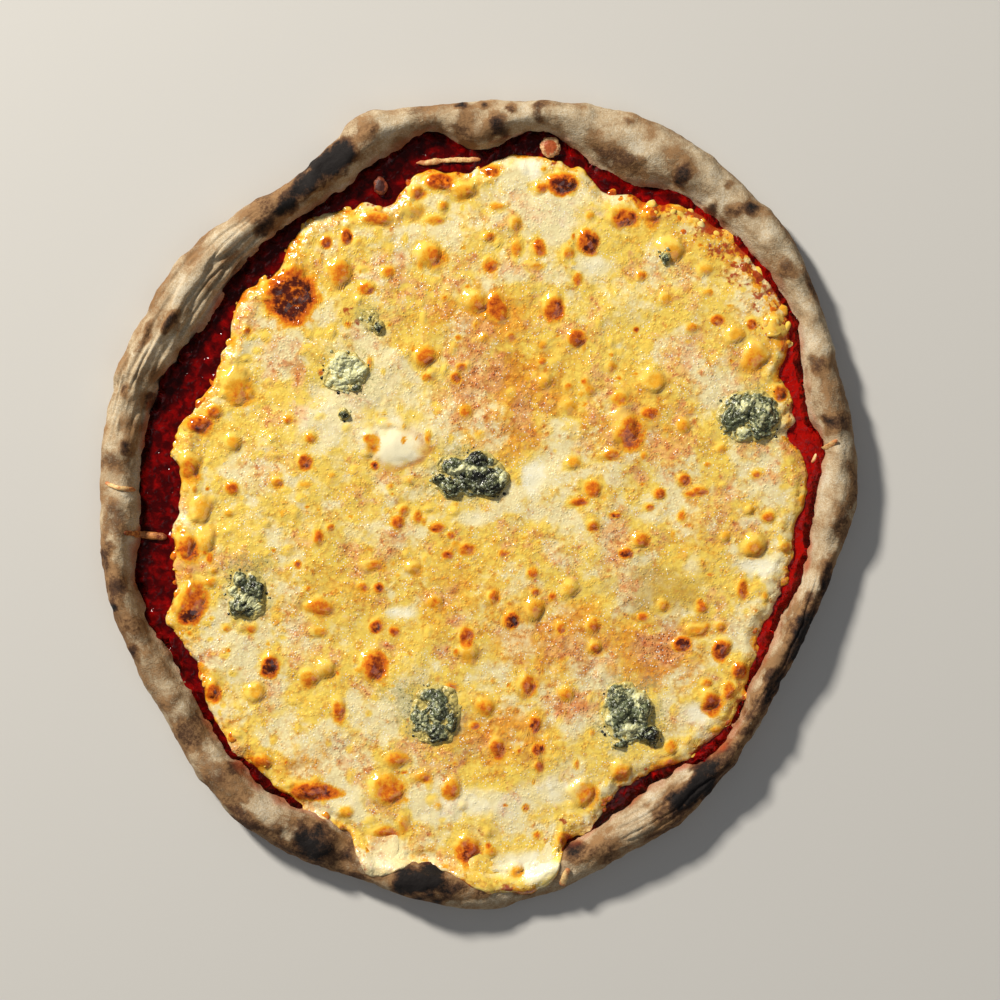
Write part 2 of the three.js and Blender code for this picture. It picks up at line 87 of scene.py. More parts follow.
# Blisters of the melted cheese: (x, y, half width, half height in pixels, browning in per cent).
BLISTERS = [
    (285, 283, 22, 24, 100), (338, 272, 13, 13, 50), (428, 253, 14, 12, 55), (367, 287, 10, 6, 65),
    (387, 272, 7, 6, 55), (473, 300, 13, 12, 50), (495, 303, 8, 13, 75), (488, 236, 7, 6, 60),
    (489, 262, 7, 8, 70), (437, 180, 14, 8, 85), (415, 190, 8, 7, 60), (465, 188, 12, 11, 40),
    (345, 236, 6, 8, 85), (325, 240, 5, 6, 80), (377, 218, 14, 7, 60), (412, 208, 10, 7, 30),
    (435, 218, 10, 5, 50), (443, 205, 5, 5, 50), (593, 168, 14, 7, 80), (562, 180, 15, 10, 95),
    (540, 187, 7, 6, 60), (490, 168, 8, 6, 80), (497, 206, 9, 4, 50), (515, 222, 6, 8, 45),
    (517, 245, 6, 9, 50), (537, 247, 6, 9, 80), (567, 250, 6, 6, 50), (588, 240, 10, 11, 90),
    (618, 216, 14, 9, 80), (651, 208, 10, 14, 60), (590, 215, 5, 5, 40), (535, 265, 8, 4, 50),
    (578, 277, 5, 6, 65), (641, 275, 5, 5, 55), (552, 303, 10, 13, 80), (500, 310, 8, 10, 70),
    (665, 297, 6, 7, 40), (672, 248, 15, 12, 35), (705, 270, 8, 6, 35), (232, 383, 17, 18, 45),
    (213, 411, 9, 8, 65), (194, 423, 12, 9, 85), (187, 463, 12, 13, 55), (232, 442, 9, 9, 35),
    (301, 460, 7, 8, 80), (310, 437, 6, 6, 50), (286, 420, 5, 5, 60), (276, 481, 7, 6, 55),
    (232, 488, 6, 6, 75), (245, 330, 4, 4, 60), (247, 393, 6, 6, 30), (423, 357, 11, 10, 60),
    (370, 440, 8, 11, 45), (395, 447, 30, 20, 0), (373, 466, 4, 5, 90), (455, 375, 6, 6, 70),
    (465, 410, 6, 7, 55), (483, 337, 5, 5, 40), (428, 435, 4, 7, 50), (575, 337, 9, 9, 80),
    (510, 335, 5, 5, 60), (543, 345, 5, 4, 50), (611, 366, 6, 7, 40), (637, 328, 3, 3, 80),
    (655, 382, 12, 13, 30), (625, 425, 14, 20, 75), (620, 397, 8, 7, 50), (648, 413, 9, 6, 80),
    (568, 385, 4, 4, 55), (590, 390, 6, 6, 40), (568, 405, 9, 7, 35), (545, 380, 8, 8, 35),
    (572, 463, 9, 7, 40), (610, 453, 8, 6, 60), (645, 455, 4, 5, 50), (715, 320, 7, 5, 80),
    (752, 322, 5, 6, 80), (693, 327, 6, 5, 50), (775, 327, 13, 13, 10), (755, 355, 14, 14, 45),
    (735, 335, 9, 8, 30), (780, 390, 7, 8, 80), (683, 425, 8, 8, 40), (683, 480, 6, 6, 70),
    (757, 473, 5, 4, 60), (200, 508, 10, 15, 30), (182, 545, 12, 14, 75), (205, 540, 10, 14, 25),
    (187, 600, 15, 18, 70), (187, 613, 11, 8, 100), (210, 583, 6, 5, 45), (225, 629, 5, 4, 50),
    (250, 628, 6, 5, 55), (317, 538, 6, 9, 65), (296, 563, 4, 5, 75), (320, 607, 13, 9, 60),
    (317, 632, 10, 6, 40), (268, 662, 9, 10, 95), (397, 523, 6, 7, 75), (329, 527, 4, 4, 70),
    (437, 527, 8, 5, 80), (450, 536, 5, 4, 75), (465, 547, 8, 6, 70), (447, 555, 6, 5, 75),
    (370, 565, 12, 7, 50), (362, 586, 6, 5, 60), (378, 589, 5, 5, 80), (412, 567, 9, 8, 35),
    (435, 602, 9, 8, 50), (492, 597, 7, 9, 65), (375, 625, 6, 6, 90), (393, 632, 6, 5, 70),
    (463, 636, 7, 10, 80), (468, 652, 12, 10, 30), (371, 667, 12, 16, 85), (325, 668, 12, 10, 30),
    (594, 488, 8, 8, 70), (577, 502, 9, 4, 75), (593, 525, 6, 6, 65), (660, 494, 6, 6, 75),
    (649, 507, 5, 4, 60), (617, 515, 6, 3, 80), (640, 540, 9, 8, 60), (625, 552, 7, 5, 85),
    (533, 573, 6, 5, 65), (534, 592, 6, 5, 60), (512, 618, 7, 8, 90), (534, 608, 11, 11, 45),
    (560, 627, 5, 6, 70), (570, 588, 9, 10, 25), (592, 625, 8, 8, 60), (595, 647, 7, 7, 60),
    (642, 618, 6, 5, 60), (663, 605, 6, 7, 45), (755, 545, 13, 12, 40), (725, 537, 6, 6, 35),
    (785, 545, 6, 7, 50), (770, 517, 6, 5, 60), (741, 588, 6, 10, 70), (700, 490, 8, 5, 65),
    (682, 517, 4, 6, 60), (720, 627, 7, 6, 60), (721, 648, 9, 10, 85), (680, 645, 8, 7, 95),
    (697, 630, 12, 7, 50), (703, 608, 6, 6, 60), (750, 510, 6, 6, 35), (308, 677, 10, 9, 50),
    (254, 693, 9, 9, 30), (210, 690, 8, 10, 85), (262, 762, 11, 8, 65), (300, 792, 26, 9, 85),
    (338, 708, 7, 12, 70), (395, 760, 13, 8, 55), (422, 777, 7, 6, 60), (450, 788, 8, 11, 60),
    (383, 792, 17, 17, 60), (402, 823, 6, 10, 45), (346, 813, 8, 6, 45), (380, 833, 14, 6, 60),
    (467, 847, 13, 12, 80), (490, 853, 7, 6, 40), (515, 870, 8, 7, 45), (486, 706, 10, 9, 55),
    (472, 727, 7, 5, 60), (497, 745, 8, 11, 75), (450, 688, 7, 5, 65), (525, 683, 8, 11, 70),
    (535, 723, 6, 8, 85), (537, 750, 7, 6, 90), (538, 765, 6, 6, 75), (566, 695, 8, 7, 50),
    (582, 793, 13, 13, 50), (620, 770, 10, 11, 55), (606, 803, 6, 5, 70), (525, 808, 3, 3, 95),
    (538, 836, 4, 4, 70), (563, 840, 8, 8, 65), (709, 699, 11, 12, 80), (740, 670, 8, 8, 80),
    (727, 690, 6, 9, 65), (717, 730, 7, 4, 40), (670, 748, 6, 6, 55), (668, 765, 9, 6, 80),
]


class Tint(Enum):
    """Where the cheese differs from its common colour."""

    YELLOW = "yellow"
    OLIVE = "olive"
    CREAM = "cream"
    GREY = "grey"
    PINK = "pink"
    RED = "red"
    WARM = "warm"


# Patches of the cheese's colour, by tint: (x, y, half width, half height in pixels, strength).
PATCHES = {
    Tint.YELLOW: [
        (420, 310, 40, 45, 0.9), (470, 262, 30, 22, 0.5), (545, 370, 75, 60, 1.0), (330, 560, 45, 40, 0.7),
        (455, 575, 60, 45, 0.6), (655, 400, 35, 40, 0.8), (500, 770, 60, 30, 0.8), (420, 640, 60, 35, 0.6),
        (690, 250, 40, 30, 0.5), (330, 660, 45, 40, 0.5),
    ],
    Tint.WARM: [
        (482, 318, 50, 34, 0.9), (520, 385, 56, 44, 0.8), (640, 430, 70, 56, 0.5), (500, 420, 60, 50, 0.6),
        (330, 600, 80, 56, 0.3), (450, 600, 90, 56, 0.4), (560, 640, 90, 44, 0.7), (500, 735, 70, 34, 0.7),
        (650, 655, 60, 40, 0.8), (300, 770, 50, 30, 0.5), (700, 520, 60, 40, 0.4),
    ],
    Tint.OLIVE: [
        (665, 590, 62, 34, 0.9), (462, 750, 26, 14, 0.6), (420, 690, 40, 26, 0.5),
        (250, 560, 22, 26, 0.35),
    ],
    Tint.CREAM: [
        (395, 446, 40, 28, 0.85), (535, 475, 16, 18, 0.9), (760, 567, 22, 10, 0.8),
        (700, 715, 20, 12, 0.9), (400, 613, 20, 8, 0.7), (530, 166, 16, 12, 0.8), (530, 866, 36, 16, 0.8),
        (590, 265, 18, 14, 0.6), (475, 518, 14, 10, 0.5), (560, 788, 40, 18, 0.5), (470, 805, 70, 16, 0.6),
        (340, 420, 60, 45, 0.35), (560, 215, 60, 40, 0.3), (350, 800, 36, 24, 0.4),
        (380, 860, 30, 14, 0.5),
    ],
    Tint.GREY: [
        (468, 475, 54, 40, 0.8), (752, 415, 44, 36, 0.8), (247, 592, 34, 42, 0.8), (426, 712, 46, 46, 0.8),
        (630, 715, 50, 48, 0.8), (345, 372, 40, 38, 0.65), (368, 318, 14, 16, 0.8), (344, 415, 8, 8, 0.8),
        (667, 257, 7, 10, 0.8), (763, 455, 6, 6, 0.7),
    ],
    Tint.PINK: [
        (470, 378, 36, 52, 0.8), (525, 410, 13, 26, 0.8), (350, 550, 14, 14, 0.6), (380, 600, 16, 10, 0.6),
        (458, 620, 12, 12, 0.6), (560, 650, 24, 14, 0.6), (617, 545, 22, 38, 0.7), (662, 648, 26, 20, 1.0),
        (575, 705, 32, 18, 1.0), (585, 445, 14, 12, 0.6), (640, 475, 14, 12, 0.5), (297, 375, 8, 20, 0.8),
        (270, 376, 7, 10, 0.7), (300, 412, 8, 8, 0.7), (400, 257, 12, 10, 0.6), (385, 290, 10, 8, 0.6),
        (520, 215, 40, 20, 0.4), (690, 355, 40, 35, 0.5), (270, 470, 40, 30, 0.35),
        (360, 500, 30, 24, 0.35),
    ],
    Tint.RED: [
        (347, 310, 6, 6, 0.9), (357, 322, 6, 5, 0.9), (370, 348, 7, 5, 0.8), (330, 333, 6, 4, 0.7),
        (785, 587, 6, 5, 0.9), (628, 790, 11, 6, 1.0), (643, 781, 8, 5, 1.0), (563, 823, 6, 5, 0.9),
        (555, 283, 5, 2, 0.9), (745, 268, 34, 22, 0.75), (705, 228, 22, 14, 0.6), (780, 300, 10, 20, 0.8),
        (766, 302, 16, 24, 0.75), (724, 250, 24, 15, 0.7), (672, 212, 20, 10, 0.6),
    ],
}


class Tone(Enum):
    """What a part of a blue lump is like. The value is how dark and how pale it is."""

    BLACK = (0.72, 0.0)
    SLATE = (0.36, 0.05)
    GREEN = (0.08, 0.25)
    MOSS = (0.1, 0.6)
    CREAM = (-0.3, 1.0)


# Parts of each lump of blue cheese: (tone, x, y, half width, half height in pixels, share of rise).
LUMPS = {
    1: [
        (Tone.SLATE, 452, 464, 14, 9, 0.8), (Tone.BLACK, 480, 461, 17, 9, 0.7),
        (Tone.BLACK, 488, 485, 16, 12, 1.0), (Tone.SLATE, 450, 488, 13, 10, 0.9),
        (Tone.BLACK, 470, 478, 11, 7, 0.6), (Tone.CREAM, 462, 470, 17, 4, 0.9),
        (Tone.BLACK, 440, 479, 8, 7, 0.6), (Tone.MOSS, 503, 478, 6, 9, 0.5),
    ],
    2: [
        (Tone.GREEN, 752, 402, 22, 11, 0.9), (Tone.GREEN, 763, 417, 15, 15, 1.0),
        (Tone.SLATE, 735, 417, 12, 12, 0.8), (Tone.CREAM, 744, 409, 6, 7, 1.0),
        (Tone.BLACK, 762, 433, 12, 7, 0.6), (Tone.SLATE, 727, 421, 5, 10, 0.6),
        (Tone.MOSS, 742, 434, 10, 6, 0.5),
    ],
    3: [
        (Tone.GREEN, 239, 579, 9, 9, 0.9), (Tone.BLACK, 253, 590, 12, 7, 0.8),
        (Tone.BLACK, 239, 607, 9, 11, 1.0), (Tone.CREAM, 233, 592, 7, 7, 0.8),
        (Tone.SLATE, 261, 597, 6, 6, 0.6), (Tone.MOSS, 246, 603, 10, 8, 0.7),
    ],
    4: [
        (Tone.SLATE, 440, 706, 14, 17, 0.9), (Tone.GREEN, 421, 722, 11, 14, 0.7),
        (Tone.BLACK, 435, 736, 15, 8, 0.8), (Tone.SLATE, 450, 724, 7, 10, 1.0),
        (Tone.GREEN, 427, 696, 11, 8, 0.7), (Tone.GREEN, 432, 716, 12, 10, 0.8),
    ],
    5: [
        (Tone.GREEN, 619, 694, 10, 10, 0.9), (Tone.CREAM, 640, 697, 6, 6, 1.0),
        (Tone.GREEN, 644, 714, 7, 17, 0.9), (Tone.SLATE, 622, 714, 11, 11, 0.8),
        (Tone.BLACK, 649, 736, 12, 8, 0.9), (Tone.BLACK, 620, 745, 9, 5, 0.6),
        (Tone.MOSS, 608, 723, 5, 9, 0.5), (Tone.MOSS, 633, 730, 9, 8, 0.6),
    ],
    6: [
        (Tone.CREAM, 340, 366, 13, 11, 0.9), (Tone.CREAM, 354, 373, 12, 13, 0.8),
        (Tone.CREAM, 336, 381, 11, 8, 0.6), (Tone.CREAM, 344, 360, 14, 4, 1.0),
        (Tone.SLATE, 355, 388, 7, 5, 0.7),
    ],
    7: [(Tone.BLACK, 377, 327, 5, 8, 1.0), (Tone.SLATE, 368, 317, 5, 5, 0.8)],
    8: [(Tone.SLATE, 344, 415, 5, 5, 1.0)],
    9: [(Tone.SLATE, 667, 257, 3, 6, 1.0), (Tone.CREAM, 663, 253, 3, 3, 0.9)],
}

# Scorch marks of the rim, the last four being broad faint patches of painted shade: (angle, radius, half
# length along the rim, half width in pixels, depth).
SCORCHES_AND_SHADE = [
    (3, 375, 26, 6, 0.45), (13, 367, 10, 13, 0.55), (13.5, 360, 8, 7, 0.75), (22.5, 371, 11, 15, 0.55),
    (33, 400, 20, 6, 0.5), (38, 386, 12, 10, 0.4), (47.5, 403, 9, 9, 0.8), (49, 389, 9, 13, 0.55),
    (51.5, 379, 6, 9, 0.6), (52, 406, 6, 5, 0.35), (58.5, 387, 10, 13, 0.75), (68, 375, 34, 12, 0.45),
    (68.5, 410, 5, 6, 0.4), (81, 401, 6, 11, 0.5), (85, 401, 4, 6, 0.65), (89, 401, 5, 5, 0.85),
    (92, 400, 6, 5, 0.85), (86.7, 379, 11, 13, 0.7), (92, 373, 12, 16, 0.45), (102, 370, 16, 6, 0.25),
    (106.5, 384, 12, 9, 0.5), (111, 378, 12, 13, 1.15), (114, 376, 20, 15, 1.2), (117, 366, 20, 13, 1.0),
    (120, 362, 20, 12, 0.85), (123, 355, 14, 9, 0.95), (127, 351, 16, 8, 0.65), (126, 366, 20, 12, 0.45),
    (137, 347, 30, 7, 0.25), (149, 355, 10, 6, 0.8), (153, 371, 22, 6, 0.4), (158, 349, 14, 6, 0.3),
    (162, 371, 7, 5, 0.5), (162, 346, 8, 7, 0.55), (167, 355, 14, 12, 0.35), (170.5, 355, 10, 7, 0.75),
    (173.5, 363, 12, 15, 0.4), (182, 362, 24, 15, 0.42), (188, 374, 18, 7, 0.6), (193, 371, 16, 12, 0.6),
    (195.5, 376, 7, 7, 1.0), (199, 365, 12, 12, 0.35), (203, 374, 8, 6, 0.65), (212.5, 338, 7, 6, 1.0),
    (213, 365, 10, 14, 0.3), (218.5, 366, 24, 18, 0.65), (219, 354, 10, 9, 0.5), (226.7, 360, 9, 8, 0.55),
    (234, 390, 34, 9, 0.6), (231, 375, 12, 12, 0.3), (244.5, 378, 36, 22, 0.9), (245, 361, 22, 8, 0.6),
    (252, 391, 10, 5, 0.6), (262, 383, 36, 16, 1.15), (263.5, 368, 16, 11, 1.05), (270.5, 386, 8, 8, 0.55),
    (276, 366, 6, 7, 0.4), (276.5, 389, 9, 7, 0.5), (286, 361, 14, 11, 0.9), (290.5, 368, 18, 16, 0.45),
    (300, 374, 26, 6, 0.5), (308, 357, 48, 15, 1.0), (304, 361, 18, 12, 0.8), (312, 351, 24, 10, 0.9),
    (319.8, 347, 8, 8, 0.6), (329, 346, 48, 12, 0.8), (338, 347, 42, 12, 0.85), (347, 355, 30, 8, 0.75),
    # Painted shade: the four marks from angle 60 on darken the rim broadly where it lay in shade; they are
    # not scorches.
    (357, 366, 22, 9, 0.45), (60, 396, 30, 13, 0.2), (146, 384, 40, 14, 0.2), (225, 376, 30, 14, 0.32),
    (240, 390, 26, 14, 0.4),
]


def linear(red: int, green: int, blue: int) -> Colour:
    """Turns a screen colour into the linear colour that a shader takes.

    Args:
        red: Red, from 0 to 255.
        green: Green, from 0 to 255.
        blue: Blue, from 0 to 255.

    Returns:
        The colour, fully opaque.
    """

    def channel(value: int) -> float:
        """One channel, made linear."""
        share = value / 255
        return share / 12.92 if share <= 0.04045 else ((share + 0.055) / 1.055) ** 2.4

    return (channel(red), channel(green), channel(blue), 1.0)


# ---- Fields over the surface ----------------------------------------------------------------------


def smooth(value: Array, low: float, high: float) -> Array:
    """A smooth step of value from 0 at low to 1 at high."""
    share = np.clip((value - low) / (high - low), 0, 1)
    return share * share * (3 - 2 * share)


def lattice(ix: Array, iy: Array, iz: Array, seed: int) -> Array:
    """A fixed random number for each whole-numbered point.

    Args:
        ix: The points' first coordinates.
        iy: Their second coordinates.
        iz: Their third coordinates.
        seed: Picks the set of numbers.

    Returns:
        Numbers from -1 to 1.
    """
    mixed = ix * 374761393 + iy * 668265263 + iz * 1440662683 + seed * 1274126177
    mixed = (mixed ^ (mixed >> 13)) & 0xFFFFFFFF
    mixed = (mixed * 1274126177) & 0xFFFFFFFF
    return ((mixed ^ (mixed >> 16)) & 0xFFFF) / 32767.5 - 1


def ripple(points: Array, size: float, seed: int, octaves: int = 3) -> Array:
    """Smooth random relief between about -1 and 1.

    Args:
        points: Places in millimetres, one row each.
        size: Width of the largest bumps.
        seed: Picks the pattern.
        octaves: How many finer layers there are, each half as high.

    Returns:
        One number for each place.
    """
    total = np.zeros(len(points))
    height = 1.0
    for octave in range(octaves):
        place = points / size * 2**octave + 17.3 * octave
        cell = np.floor(place).astype(np.int64)
        part = place - cell
        ease = part * part * part * (part * (part * 6 - 15) + 10)
        corners = np.zeros(len(points))
        for dx, dy, dz in np.ndindex(2, 2, 2):
            weight = (
                np.abs(1 - dx - ease[:, 0]) * np.abs(1 - dy - ease[:, 1]) * np.abs(1 - dz - ease[:, 2])
            )
            corners += weight * lattice(cell[:, 0] + dx, cell[:, 1] + dy, cell[:, 2] + dz, seed + octave)
        total += height * corners
        height *= 0.5
    return total / 1.4


def curds(points: Array, size: float, seed: int) -> tuple[Array, Array]:
    """Rounded grains packed together.

    Args:
        points: Places in millimetres, one row each.
        size: How far apart the grains' middles are.
        seed: Picks the pattern.

    Returns:
        1 at a grain's middle, falling to 0 between grains, and the grain's own tone from 0 to 1.
    """
    place = points / size
    cell = np.floor(place).astype(np.int64)
    nearest = np.full(len(points), 9.0)
    tone = np.zeros(len(points))
    for dx, dy, dz in np.ndindex(3, 3, 3):
        near = cell + np.array([dx - 1, dy - 1, dz - 1])
        middle = np.stack(
            [near[:, axis] + 0.5 + 0.4 * lattice(*near.T, seed + axis) for axis in range(3)], axis=1
        )
        apart = np.sum((place - middle) ** 2, axis=1)
        closer = apart < nearest
        nearest = np.where(closer, apart, nearest)
        tone = np.where(closer, lattice(*near.T, seed + 3) * 0.5 + 0.5, tone)
    return np.sqrt(np.clip(1 - nearest / 0.75, 0, 1)), tone


def nodules(points: Array, size: float, seed: int) -> Array:
    """The height alone of grains packed together."""
    return curds(points, size, seed)[0]


def round_trip(pairs: Sequence[tuple[float, float]], angles: Array) -> Array:
    """Reads a smooth closed line.

    Args:
        pairs: Angles in degrees, in rising order, each with the line's value there.
        angles: The angles at which to read it.

    Returns:
        The line's value at each angle.
    """
    known = np.array([p[0] for p in pairs], float)
    values = np.array([p[1] for p in pairs], float)
    turned = np.concatenate([known[-2:] - 360, known, known[:2] + 360])
    looped = np.concatenate([values[-2:], values, values[:2]])
    angle = np.mod(angles, 360)
    i = np.searchsorted(turned, angle, side="right") - 1
    a0, a1, a2, a3 = (turned[i + k] for k in (-1, 0, 1, 2))
    v0, v1, v2, v3 = (looped[i + k] for k in (-1, 0, 1, 2))
    run = a2 - a1
    t = (angle - a1) / run
    leave = (v2 - v0) / (a2 - a0) * run
    arrive = (v3 - v1) / (a3 - a1) * run
    blend = t * t * (3 - 2 * t)
    return v1 + (v2 - v1) * blend + t * (1 - t) * ((1 - t) * leave - t * arrive)


def from_photo(x: float, y: float) -> tuple[float, float]:
    """The place on the pizza, in millimetres, that a pixel of the photograph shows."""
    return (x - PHOTO_MIDDLE[0]) * PIXEL, (PHOTO_MIDDLE[1] - y) * PIXEL


def reach_of(places: Sequence[Array], middle: Sequence[float], half: Sequence[float]) -> Array:
    """How far places lie from the middle of an oval, where 1 is its outline."""
    return np.hypot((places[0] - middle[0]) / half[0], (places[1] - middle[1]) / half[1])


def on_circle(degrees: Array, radius: float) -> Array:
    """Places on a level circle, one row each."""
    turn = np.radians(degrees)
    return np.stack([radius * np.cos(turn), radius * np.sin(turn), np.zeros_like(turn)], axis=1)


class Dough:
    """The baked dough's form, read from the crust's solid: smooth sections and a height map."""

    STEPS = 120  # sections in the solid
    STATIONS = 13  # points of a section
    HOLE = 50  # a radius with nothing of the sections inside it
    FINE = 720  # sections of the height map
    MAP_STATIONS = 90  # points of a section of the height map
    TOP_STATION = 3  # the first station that faces up
    REACH = (100.0, 168.0, 0.5)  # radii of the height map: first, last, step

    def __init__(self, solid: bpy.types.Object) -> None:
        """Reads the sections off the solid's mesh.

        Args:
            solid: The crust's node, as loaded.
        """
        co = np.zeros(len(solid.data.vertices) * 3)
        solid.data.vertices.foreach_get("co", co)
        points = np.unique(np.round(co.reshape(-1, 3) / MM, 3), axis=0)
        self.pole = points[np.argmin(np.hypot(points[:, 0], points[:, 1])), :2]
        out = points[:, :2] - self.pole
        radius = np.hypot(out[:, 0], out[:, 1])
        step = np.round(np.degrees(np.arctan2(out[:, 1], out[:, 0])) / (360 / self.STEPS)).astype(int)
        sections = []
        for k in range(self.STEPS):
            mine = (np.mod(step, self.STEPS) == k) & (radius > self.HOLE)
            sections.append(self._in_order(radius[mine], points[mine, 2]))
        self.sections = np.array(sections)
        self.height_map = self._height_map()

    def _in_order(self, radius: Array, z: Array) -> Array:
        """Puts the points of one section in order.

        Args:
            radius: The points' radii.
            z: Their heights.

        Returns:
            Radius and height of each, from the underside over the top to the inner foot.
        """
        outer, foot = radius.max(), radius.min()
        core = (outer - 0.45 * (outer - foot - 3), 0.45 * z.max())
        turn = np.mod(np.degrees(np.arctan2(z - core[1], radius - core[0])) + 90, 360)
        order = np.argsort(turn)
        kept = np.stack([radius[order], z[order]], axis=1)
        if len(kept) != self.STATIONS:
            raise ValueError(f"a section of the crust has {len(kept)} points, not {self.STATIONS}")
        return kept

    def section_rows(self, count: int, stations: Array) -> Array:
        """Reads smooth sections.

        Args:
            count: How many sections there are round the pizza.
            stations: Station numbers at which each is read, fractions too.

        Returns:
            Radius and height, in an array of count by stations by 2.
        """
        place = np.arange(count) * self.STEPS / count
        round_rows = catmull(self.sections, place, closed=True)
        return catmull(round_rows.transpose(1, 0, 2), stations, closed=False).transpose(1, 0, 2)

    def even_stations(self, count: int) -> Array:
        """Spaces stations evenly along the mean section.

        Args:
            count: How many stations are wanted.

        Returns:
            Their station numbers, with fractions.
        """
        mean = self.sections.mean(axis=0)
        run = np.concatenate([[0], np.cumsum(np.hypot(*np.diff(mean, axis=0).T))])
        return np.interp(np.linspace(0, run[-1], count), run, np.arange(self.STATIONS))

    def _height_map(self) -> Array:
        """Tabulates the height of the dough's upper side.

        Returns:
            Heights by angle and radius.
        """
        upper = np.linspace(self.TOP_STATION, self.STATIONS - 1, self.MAP_STATIONS)
        rows = self.section_rows(self.FINE, upper)
        radii = np.arange(*self.REACH)
        return np.array([np.interp(radii, row[::-1, 0], row[::-1, 1], right=0) for row in rows])

    def polar(self, x: Array, y: Array) -> tuple[Array, Array]:
        """Angles in degrees and radii of places."""
        dx, dy = x - self.pole[0], y - self.pole[1]
        return np.mod(np.degrees(np.arctan2(dy, dx)), 360), np.hypot(dx, dy)

    def top(self, x: Array, y: Array) -> Array:
        """Reads the height of the dough's upper side.

        Args:
            x: The places' first coordinates.
            y: Their second coordinates.

        Returns:
            The height at each place.
        """
        angle, radius = self.polar(x, y)
        first, _, step = self.REACH
        a = angle / 360 * self.FINE
        b = np.clip((radius - first) / step, 0, self.height_map.shape[1] - 1.001)
        a0, b0 = np.floor(a).astype(int), np.floor(b).astype(int)
        fa, fb = a - a0, b - b0
        a0, a1 = a0 % self.FINE, (a0 + 1) % self.FINE
        near = self.height_map[a0, b0] * (1 - fb) + self.height_map[a0, b0 + 1] * fb
        far = self.height_map[a1, b0] * (1 - fb) + self.height_map[a1, b0 + 1] * fb
        return near * (1 - fa) + far * fa

    def inner_edge(self, angles: Array) -> Array:
        """Radius at which the rim meets the sauce."""
        ring = self.sections[:, self.STATIONS - 2, 0]
        return catmull(ring[:, None], np.mod(angles, 360) / 360 * self.STEPS, closed=True)[:, 0]

    def outer_edge(self, angles: Array) -> Array:
        """Radius of the rim's outline."""
        ring = self.sections[:, :, 0].max(axis=1)
        return catmull(ring[:, None], np.mod(angles, 360) / 360 * self.STEPS, closed=True)[:, 0]


def catmull(rows: Array, places: Array, closed: bool) -> Array:
    """Reads a smooth curve through rows of numbers.

    Args:
        rows: The rows that it passes through.
        places: Row numbers at which it is read, fractions too.
        closed: Whether the last row runs on into the first.

    Returns:
        A row for each place.
    """
    count = len(rows)
    i = np.floor(places).astype(int)
    t = places - i
    if not closed:
        i, t = np.minimum(i, count - 2), places - np.minimum(i, count - 2)
    picks = [i - 1, i, i + 1, i + 2]
    picks = [p % count if closed else np.clip(p, 0, count - 1) for p in picks]
    a, b, c, d = (rows[p] for p in picks)
    t = t.reshape(-1, *([1] * (rows.ndim - 1)))
    return b + 0.5 * t * (c - a + t * (2 * a - 5 * b + 4 * c - d + t * (3 * (b - c) + d - a)))


# ---- Meshes -----------------------------------------------------------------------------------------


def deselect() -> None:
    """Leaves nothing selected, in object mode."""
    if bpy.context.object and bpy.context.object.mode != "OBJECT":
        bpy.ops.object.mode_set(mode="OBJECT")
    bpy.ops.object.select_all(action="DESELECT")


